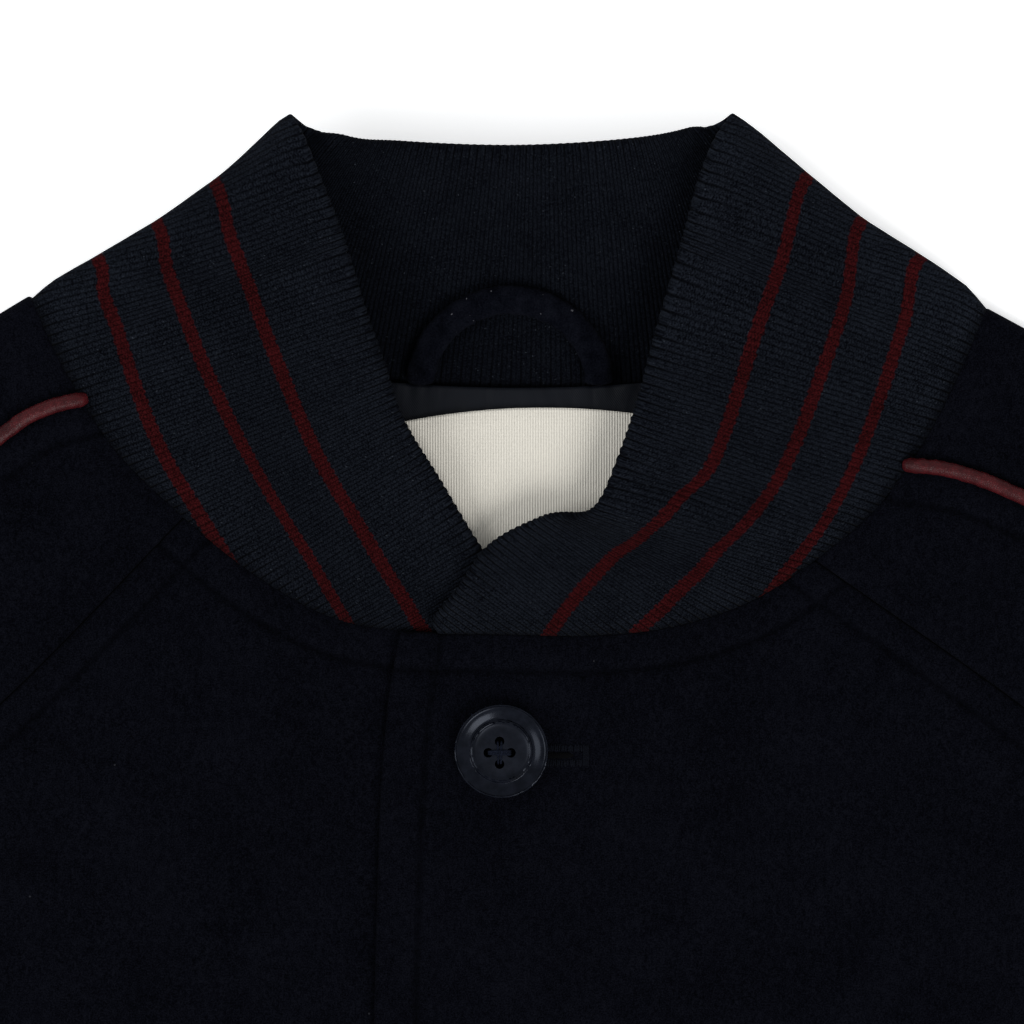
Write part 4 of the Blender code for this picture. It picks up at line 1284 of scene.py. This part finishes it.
def make_label(grosgrain):
    """A bare woven label on the lining, its edges bowed with the neck."""
    level = WOOL_WALL + 2 * CLEAR + LINING_WALL + LABEL_WALL / 2

    def point(u, v):
        x = LABEL_MIDDLE_X + (2 * u - 1) * LABEL_HALF_WIDTH
        return (x, label_top(x) - LABEL_LENGTH * (1 - v), level)

    cloth = Sheet([step / 80 for step in range(81)], [step / 50 for step in range(51)], point)
    top = cloth.plan[:, 1] - label_top(cloth.plan[:, 0])
    sides = LABEL_HALF_WIDTH - abs(cloth.plan[:, 0] - LABEL_MIDDLE_X)
    away = np.minimum.reduce((-top, sides, LABEL_LENGTH + top))
    cloth.raise_by(unevenness(cloth.plan, 16, 0.35, 4.4) * smooth(away / 4) + 0.2 * smooth(away / 3))
    piece = cloth.close("label", LABEL_WALL * 0.8, away + 0.6, grosgrain, "label_grosgrain", ["label"])


def make_hanger_loop(loop_cloth):
    """A padded loop that stands in an arch over the inside of the collar."""
    collar_top = COLLAR_ROWS[len(COLLAR_ROWS) // 2 - 1]
    foot = back_neck.at(back_neck.length / 2).y
    rise = collar_top[4] - RIB_BACK_LEVEL

    def line(t):
        angle = math.pi * (1 - t)
        return Vector((LOOP_HALF_SPAN * math.cos(angle), LOOP_START_Y + LOOP_RISE * math.sin(angle)))

    def level(t):
        share = max(line(t).y - foot, 0) / (collar_top[3] - foot)
        collar_level = RIB_BACK_LEVEL + rise * share**COLLAR_CURL
        return collar_level + RIB_WALL / 2 + LOOP_HALF_WALL + CLEAR + LOOP_LIFT * math.sin(math.pi * t)

    arch = tube(line, 90, 20, LOOP_HALF_WIDTH, LOOP_HALF_WALL, level, 0.10, 7.7)
    piece = loft("hanger_loop_cloth", [arch], loop_cloth, ["hanger_loop"])


def button_shape(resin):
    """One button round the origin: a spun face, rim and back, with four holes cut through it."""
    outline = Path(BUTTON_PROFILE)
    turned = bmesh.new()
    steps = 64
    corners = [outline.at(outline.length * step / steps) for step in range(steps + 1)]
    knots = [turned.verts.new((max(corner.x, 0), 0, corner.y)) for corner in corners]
    edges = [turned.edges.new(pair) for pair in zip(knots, knots[1:])]
    bmesh.ops.spin(turned, geom=knots + edges, cent=(0, 0, 0), axis=(0, 0, 1), angle=2 * math.pi, steps=96,
                   use_merge=True)
    bmesh.ops.remove_doubles(turned, verts=turned.verts, dist=0.002)
    bmesh.ops.recalc_face_normals(turned, faces=turned.faces)
    pins = bmesh.new()
    for quarter in range(4):
        turn = math.pi / 2 * quarter
        centre = Vector((HOLE_FROM_CENTRE * math.cos(turn), HOLE_FROM_CENTRE * math.sin(turn), 1))
        centre += Vector((HOLES_OFF, HOLES_OFF, 0))
        bmesh.ops.create_cone(pins, cap_ends=True, segments=28, radius1=HOLE_RADIUS, radius2=HOLE_RADIUS,
                              depth=8, matrix=Matrix.Translation(centre))
    things = []
    for name, shape in (("button_turned", turned), ("button_pins", pins)):
        things.append(add(name, mesh_of(name, shape)))
    cut = things[0].modifiers.new("Holes", "BOOLEAN")
    cut.object = things[1]
    cut.solver = "EXACT"
    soften = things[0].modifiers.new("Soften", "BEVEL")
    soften.width = 0.22
    soften.segments = 3
    soften.limit_method = "ANGLE"
    soften.angle_limit = math.radians(50)
    seen = things[0].evaluated_get(bpy.context.evaluated_depsgraph_get())
    finished = bpy.data.meshes.new_from_object(seen)
    for thing in things:
        bpy.data.objects.remove(thing)
    matt = finished.attributes.new("matt", "FLOAT_VECTOR", "POINT")
    for vertex, entry in zip(finished.vertices, matt.data):
        entry.vector = (1 - smooth((vertex.co.xy.length - 6.0) / 0.7), 0, 0)
    finished.materials.clear()
    finished.materials.append(resin)
    finished.shade_smooth()
    return finished


def thread_level(low, rise):
    """How high a strand of thread lies from one hole over to the other."""
    return lambda t: low + rise * math.sin(math.pi * t) ** 0.35


def make_button(number, shape, thread, stitching, dark):
    """A button held on by its thread, over a worked buttonhole."""
    node = f"button_{number}"
    low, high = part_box(node)
    x = (low[0] + high[0]) / 2 * 1000
    y = (low[1] + high[1]) / 2 * 1000 + middle_y
    base = low[2] * 1000
    mesh = shape.copy()
    mesh.name = node + "_disc"
    mesh.transform(Matrix.Translation(place(x, y, base)) @ TO_METRES)
    disc = add(node + "_disc", mesh)
    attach(disc, "root")
    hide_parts(node)
    face = base + FACE_HEIGHT
    reach = HOLE_FROM_CENTRE + THREAD_PAST_HOLE
    strands = []
    for offset in (-0.42, 0.0, 0.42):
        held = y + HOLES_OFF + offset * 0.7
        line = straight((x + HOLES_OFF - reach, held), (x + HOLES_OFF + reach, held + offset * 0.3))
        strands.append(tube(line, 14, 8, 0.27, 0.27, thread_level(face - 0.9, 1.25)))
    for offset in (-0.3, 0.3):
        held = x + HOLES_OFF + offset
        line = straight((held, y + HOLES_OFF - reach), (held + offset * 0.5, y + HOLES_OFF + reach))
        strands.append(tube(line, 14, 8, 0.26, 0.26, thread_level(face - 1.1, 1.2)))
    loft(node + "_thread", strands, thread, [])
    top = FRONT_LEVEL + LAP_STEP + WOOL_WALL / 2
    hole_y = y - BUTTONHOLE_BELOW
    stitches = []
    count = int((BUTTONHOLE_END - x) / BUTTONHOLE_STITCH)
    for index in range(count):
        for side in (-1, 1):
            at = x + BUTTONHOLE_STITCH * (index + 0.5) + 0.09 * math.sin(index * 2.1 + side)
            skew = 0.14 * math.sin(index * 1.7 + side)
            reach = BUTTONHOLE_HALF + 0.14 * math.sin(index * 2.9 + side)
            line = straight((at, hole_y + side * 0.8), (at + skew, hole_y + side * reach))
            stitches.append(tube(line, 6, 6, 0.24, 0.2, lambda t: top + 0.05 * math.sin(math.pi * t)))
    for index in range(3):
        at = BUTTONHOLE_END - 0.6 + 0.46 * index
        line = straight((at, hole_y - BUTTONHOLE_HALF), (at, hole_y + BUTTONHOLE_HALF))
        stitches.append(tube(line, 14, 6, 0.25, 0.24, lambda t: top + 0.05))
    loft(node + "_hole_stitches", stitches, stitching, [])
    # Painted shade: a dark strip laid in the buttonhole's slit
    slit_line = straight((x, hole_y), (BUTTONHOLE_END - 3.0, hole_y))
    slit = tube(slit_line, 20, 8, 0.7, 0.16, lambda t: top + 0.03)
    loft(node + "_hole_slit", [slit], dark, [])


for old in [thing for thing in bpy.data.objects if thing.name in ("Cube", "Light", "Camera")]:
    bpy.data.objects.remove(old)
middle_y = HEM_END_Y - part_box("hem_band")[0][1] * 1000
back_neck = Path(NECK_BACK)
lap_edge = Path(LAP_EDGE)
right_half = Half("right")
left_half = Half("left")
under_edge = straight((UNDER_EDGE_X, HEM_SEAM_Y), (UNDER_EDGE_X, 0))

# Camera
VIEW_WIDTH = 243.2
VIEW_CENTRE = (0.5, 28.4)
CAMERA_HEIGHT = 2000.0
SENSOR = 36.0
camera_data = bpy.data.cameras.new("camera")
camera_data.sensor_width = SENSOR
camera_data.lens = SENSOR * (CAMERA_HEIGHT - FRONT_LEVEL) / VIEW_WIDTH
camera_data.clip_end = 50
camera = add("camera", camera_data)
camera.location = place(*VIEW_CENTRE, CAMERA_HEIGHT)
bpy.context.scene.camera = camera

# Light
bpy.context.scene.view_settings.view_transform = "Standard"
world = bpy.data.worlds.new("studio")
world.use_nodes = True
world.node_tree.nodes["Background"].inputs["Color"].default_value = (0.96, 0.98, 1.0, 1)
world.node_tree.nodes["Background"].inputs["Strength"].default_value = 0.58
bpy.context.scene.world = world


def make_lamp(name, strength, spread, tilt, turn, colour):
    """A soft lamp far off, this many degrees from overhead and turned this far round."""
    data = bpy.data.lights.new(name, "SUN")
    data.energy = strength
    data.angle = math.radians(spread)
    data.color = colour
    add(name, data).rotation_euler = (math.radians(tilt), 0, math.radians(turn))


make_lamp("key", 1.7, 30, 46, 35, (1.0, 0.99, 0.98))
make_lamp("side", 1.2, 34, 50, -80, (0.98, 0.99, 1.0))

floor_shape = bmesh.new()
bmesh.ops.create_grid(floor_shape, x_segments=4, y_segments=4, size=6.0)
floor_mesh = mesh_of("floor", floor_shape)
floor_mesh.transform(Matrix.Translation((0, 0, -0.0006)))
floor_mesh.materials.append(make_floor_paint())
floor = add("floor", floor_mesh)

wool = make_wool()
striped_rib = make_rib("collar_rib", True)
plain_rib = make_rib("trim_rib", False)
leather = make_leather()
make_back(wool)
make_front(right_half, under_edge, (NECK_RIGHT[0][0] - UNDER_EDGE_X) / right_half.neck.length, wool)
make_front(left_half, lap_edge.stretch(1, 0), 0, wool)
for jacket_half in (right_half, left_half):
    make_sleeve_front(jacket_half, wool)
    make_sleeve_back(jacket_half, wool)
    make_piping(jacket_half, leather)
    make_cuff(jacket_half, plain_rib)
collar = make_collar(striped_rib)
make_hem_band(plain_rib)
make_neck_lining(make_satin())
make_label(make_grosgrain())
make_hanger_loop(make_loop_cloth())
thread = make_thread("button_thread", (0.0010, 0.0016, 0.0040), (0.0080, 0.0105, 0.0200))
stitching = make_thread("hole_stitching", (0.0004, 0.0006, 0.0014), (0.0038, 0.0048, 0.0086))
dark = make_thread("slit_shade", (0.0002, 0.0002, 0.0004), (0.0008, 0.0009, 0.0014))
button = button_shape(make_resin())
for button_number in range(1, BUTTON_COUNT + 1):
    make_button(button_number, button, thread, stitching, dark)
